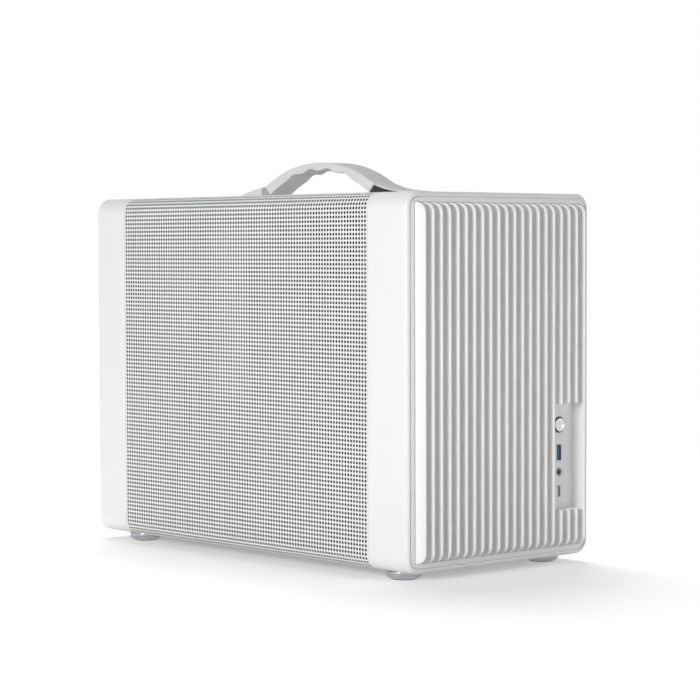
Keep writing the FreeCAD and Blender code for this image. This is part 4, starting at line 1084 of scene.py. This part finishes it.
@dataclass
class Studio:
    """Pale floor, white surround, soft lamps and the camera. Lengths are metres here."""

    lens: float = 119.94
    sensor: float = 36.0
    yaw: float = math.radians(41.8423)
    pitch: float = math.radians(2.5665)
    roll: float = math.radians(-0.1599)
    camera_place: Triple = (-1.28978, -1.45745, 0.25452)
    ambient_level: float = 0.33
    ambient_above: float = 0.12
    floor_half: float = 8.0
    floor_lift: float = 0.345
    floor_colour: float = 0.85
    fade: Span = (0.5, 1.3)
    lamp_target: Triple = (0.0, 0.0, 0.15)
    key: SoftLamp = SoftLamp("key_softbox", (-2.03, -0.7, 0.5), 0.7, 28.0)
    top: SoftLamp = SoftLamp("top_softbox", (0.5, 0.75, 2.0), 1.3, 9.0)
    shade: SoftLamp = SoftLamp("shadow_softbox", (0.45, 0.75, 2.0), 1.3, 24.0)
    fill: SoftLamp = SoftLamp("fill_softbox", (0.8, -2.1, 0.5), 1.0, 6.8)

    def build(self) -> None:
        """Set up the whole studio."""
        bpy.context.scene.view_settings.view_transform = "Standard"
        self._world()
        floor = self._floor()
        self._hang(self.key)
        self._hang(self.top)
        self._light_only(self._hang(self.shade), floor)
        self._hang(self.fill)
        self._camera()

    def _world(self) -> None:
        """White surround: plain level for lighting, white where it is seen or mirrored."""
        world = bpy.data.worlds.new("surround")
        bpy.context.scene.world = world
        world.use_nodes = True
        tree = world.node_tree
        add, link = tree.nodes.new, tree.links.new
        lit = tree.nodes["Background"]
        lit.inputs["Color"].default_value = WHITE
        link(self._dimmer_above(tree), lit.inputs["Strength"])
        seen = add("ShaderNodeBackground")
        seen.inputs["Color"].default_value = WHITE
        seen.inputs["Strength"].default_value = 1.0
        mix = add("ShaderNodeMixShader")
        link(self._direct_ray(tree), mix.inputs["Fac"])
        link(lit.outputs["Background"], mix.inputs[1])
        link(seen.outputs["Background"], mix.inputs[2])
        link(mix.outputs["Shader"], tree.nodes["World Output"].inputs["Surface"])

    def _dimmer_above(self, tree: bpy.types.NodeTree) -> bpy.types.NodeSocket:
        """Add a strength that falls from the horizon to the zenith.

        Args:
            tree: Node tree of the surround.

        Returns:
            The socket that gives the strength.
        """
        place = tree.nodes.new("ShaderNodeTexCoord")
        parts = tree.nodes.new("ShaderNodeSeparateXYZ")
        fall = tree.nodes.new("ShaderNodeMapRange")
        fall.inputs["To Min"].default_value = self.ambient_level
        fall.inputs["To Max"].default_value = self.ambient_above
        tree.links.new(place.outputs["Generated"], parts.inputs["Vector"])
        tree.links.new(parts.outputs["Z"], fall.inputs["Value"])
        return fall.outputs["Result"]

    @staticmethod
    def _direct_ray(tree: bpy.types.NodeTree) -> bpy.types.NodeSocket:
        """Add a factor that is 1 for camera, glossy and transmission rays.

        Args:
            tree: Node tree of the surround or of the floor.

        Returns:
            The socket that gives the factor.
        """
        path = tree.nodes.new("ShaderNodeLightPath")
        factor = path.outputs["Is Camera Ray"]
        for ray in ("Is Glossy Ray", "Is Transmission Ray"):
            either = tree.nodes.new("ShaderNodeMath")
            either.operation = "MAXIMUM"
            tree.links.new(factor, either.inputs[0])
            tree.links.new(path.outputs[ray], either.inputs[1])
            factor = either.outputs["Value"]
        return factor

    def _floor(self) -> bpy.types.Object:
        """Make the pale floor that keeps the shadow near the case and fades into the surround.

        Returns:
            The floor.
        """
        half = self.floor_half
        corners = [(-half, -half, 0), (half, -half, 0), (half, half, 0), (-half, half, 0)]
        mesh = bpy.data.meshes.new("studio_floor")
        mesh.from_pydata(corners, [], [(0, 1, 2, 3)])
        floor = bpy.data.objects.new("studio_floor", mesh)
        bpy.context.scene.collection.objects.link(floor)
        material = bpy.data.materials.new("studio_floor")
        material.use_nodes = True
        mesh.materials.append(material)
        self._floor_shader(material.node_tree)
        return floor

    def _floor_shader(self, tree: bpy.types.NodeTree) -> None:
        """Wire the floor: pale and a little lifted near the case, clear far from it.

        Args:
            tree: Node tree of the floor's material.
        """
        add, link = tree.nodes.new, tree.links.new
        tree.nodes.remove(tree.nodes["Principled BSDF"])
        diffuse = add("ShaderNodeBsdfDiffuse")
        diffuse.inputs["Color"].default_value = (self.floor_colour,) * 3 + (1.0,)
        lift = add("ShaderNodeEmission")
        scaled = add("ShaderNodeMath")
        scaled.operation = "MULTIPLY"
        scaled.inputs[1].default_value = self.floor_lift
        link(self._direct_ray(tree), scaled.inputs[0])
        link(scaled.outputs["Value"], lift.inputs["Strength"])
        near = add("ShaderNodeAddShader")
        link(diffuse.outputs["BSDF"], near.inputs[0])
        link(lift.outputs["Emission"], near.inputs[1])
        clear = add("ShaderNodeBsdfTransparent")
        place = add("ShaderNodeNewGeometry")
        length = add("ShaderNodeVectorMath")
        length.operation = "LENGTH"
        link(place.outputs["Position"], length.inputs[0])
        fade = add("ShaderNodeMapRange")
        fade.interpolation_type = "SMOOTHSTEP"
        fade.inputs["From Min"].default_value = self.fade[0]
        fade.inputs["From Max"].default_value = self.fade[1]
        link(length.outputs["Value"], fade.inputs["Value"])
        mix = add("ShaderNodeMixShader")
        link(fade.outputs["Result"], mix.inputs["Fac"])
        link(near.outputs["Shader"], mix.inputs[1])
        link(clear.outputs["BSDF"], mix.inputs[2])
        link(mix.outputs["Shader"], tree.nodes["Material Output"].inputs["Surface"])

    @staticmethod
    def _light_only(lamp: bpy.types.Object, thing: bpy.types.Object) -> None:
        """Let a lamp light one thing alone, while everything still shades it.

        Args:
            lamp: The lamp.
            thing: The only thing that it lights.
        """
        receivers = bpy.data.collections.new(f"{lamp.name}_receivers")
        receivers.objects.link(thing)
        lamp.light_linking.receiver_collection = receivers

    def _hang(self, soft: SoftLamp) -> bpy.types.Object:
        """Hang a lamp that faces the case.

        Args:
            soft: What lamp and where.

        Returns:
            The lamp.
        """
        light = bpy.data.lights.new(soft.name, "AREA")
        light.size = soft.side
        light.energy = soft.power
        lamp = bpy.data.objects.new(soft.name, light)
        ahead = Vector(self.lamp_target) - Vector(soft.place)
        lamp.location = soft.place
        lamp.rotation_mode = "QUATERNION"
        lamp.rotation_quaternion = ahead.to_track_quat("-Z", "Y")
        bpy.context.scene.collection.objects.link(lamp)
        return lamp

    def _camera(self) -> None:
        """Stand the camera where the case shows its left side and its front."""
        data = bpy.data.cameras.new("view")
        data.lens = self.lens
        data.sensor_width = self.sensor
        camera = bpy.data.objects.new("view", data)
        ahead = Vector((
            math.sin(self.yaw) * math.cos(self.pitch),
            math.cos(self.yaw) * math.cos(self.pitch),
            -math.sin(self.pitch),
        ))
        level = Vector((math.cos(self.yaw), -math.sin(self.yaw), 0.0))
        upright = level.cross(ahead)
        right = level * math.cos(self.roll) + upright * math.sin(self.roll)
        up = upright * math.cos(self.roll) - level * math.sin(self.roll)
        turn = Matrix((right, up, -ahead)).transposed()
        camera.matrix_world = Matrix.Translation(self.camera_place) @ turn.to_4x4()
        bpy.context.scene.collection.objects.link(camera)
        bpy.context.scene.camera = camera


def main() -> None:
    """Build every sub-assembly in order, then the studio."""
    logging.basicConfig(level=logging.INFO, format="%(message)s")
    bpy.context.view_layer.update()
    Chassis().dress()
    for side in Side:
        SidePanel(side).build()
    FrontGrille().build()
    CarryStrap().build()
    for end in End:
        for side in Side:
            Foot(end, side).build()
    PortRecess().build()
    Studio().build()


if __name__ == "__main__":
    main()
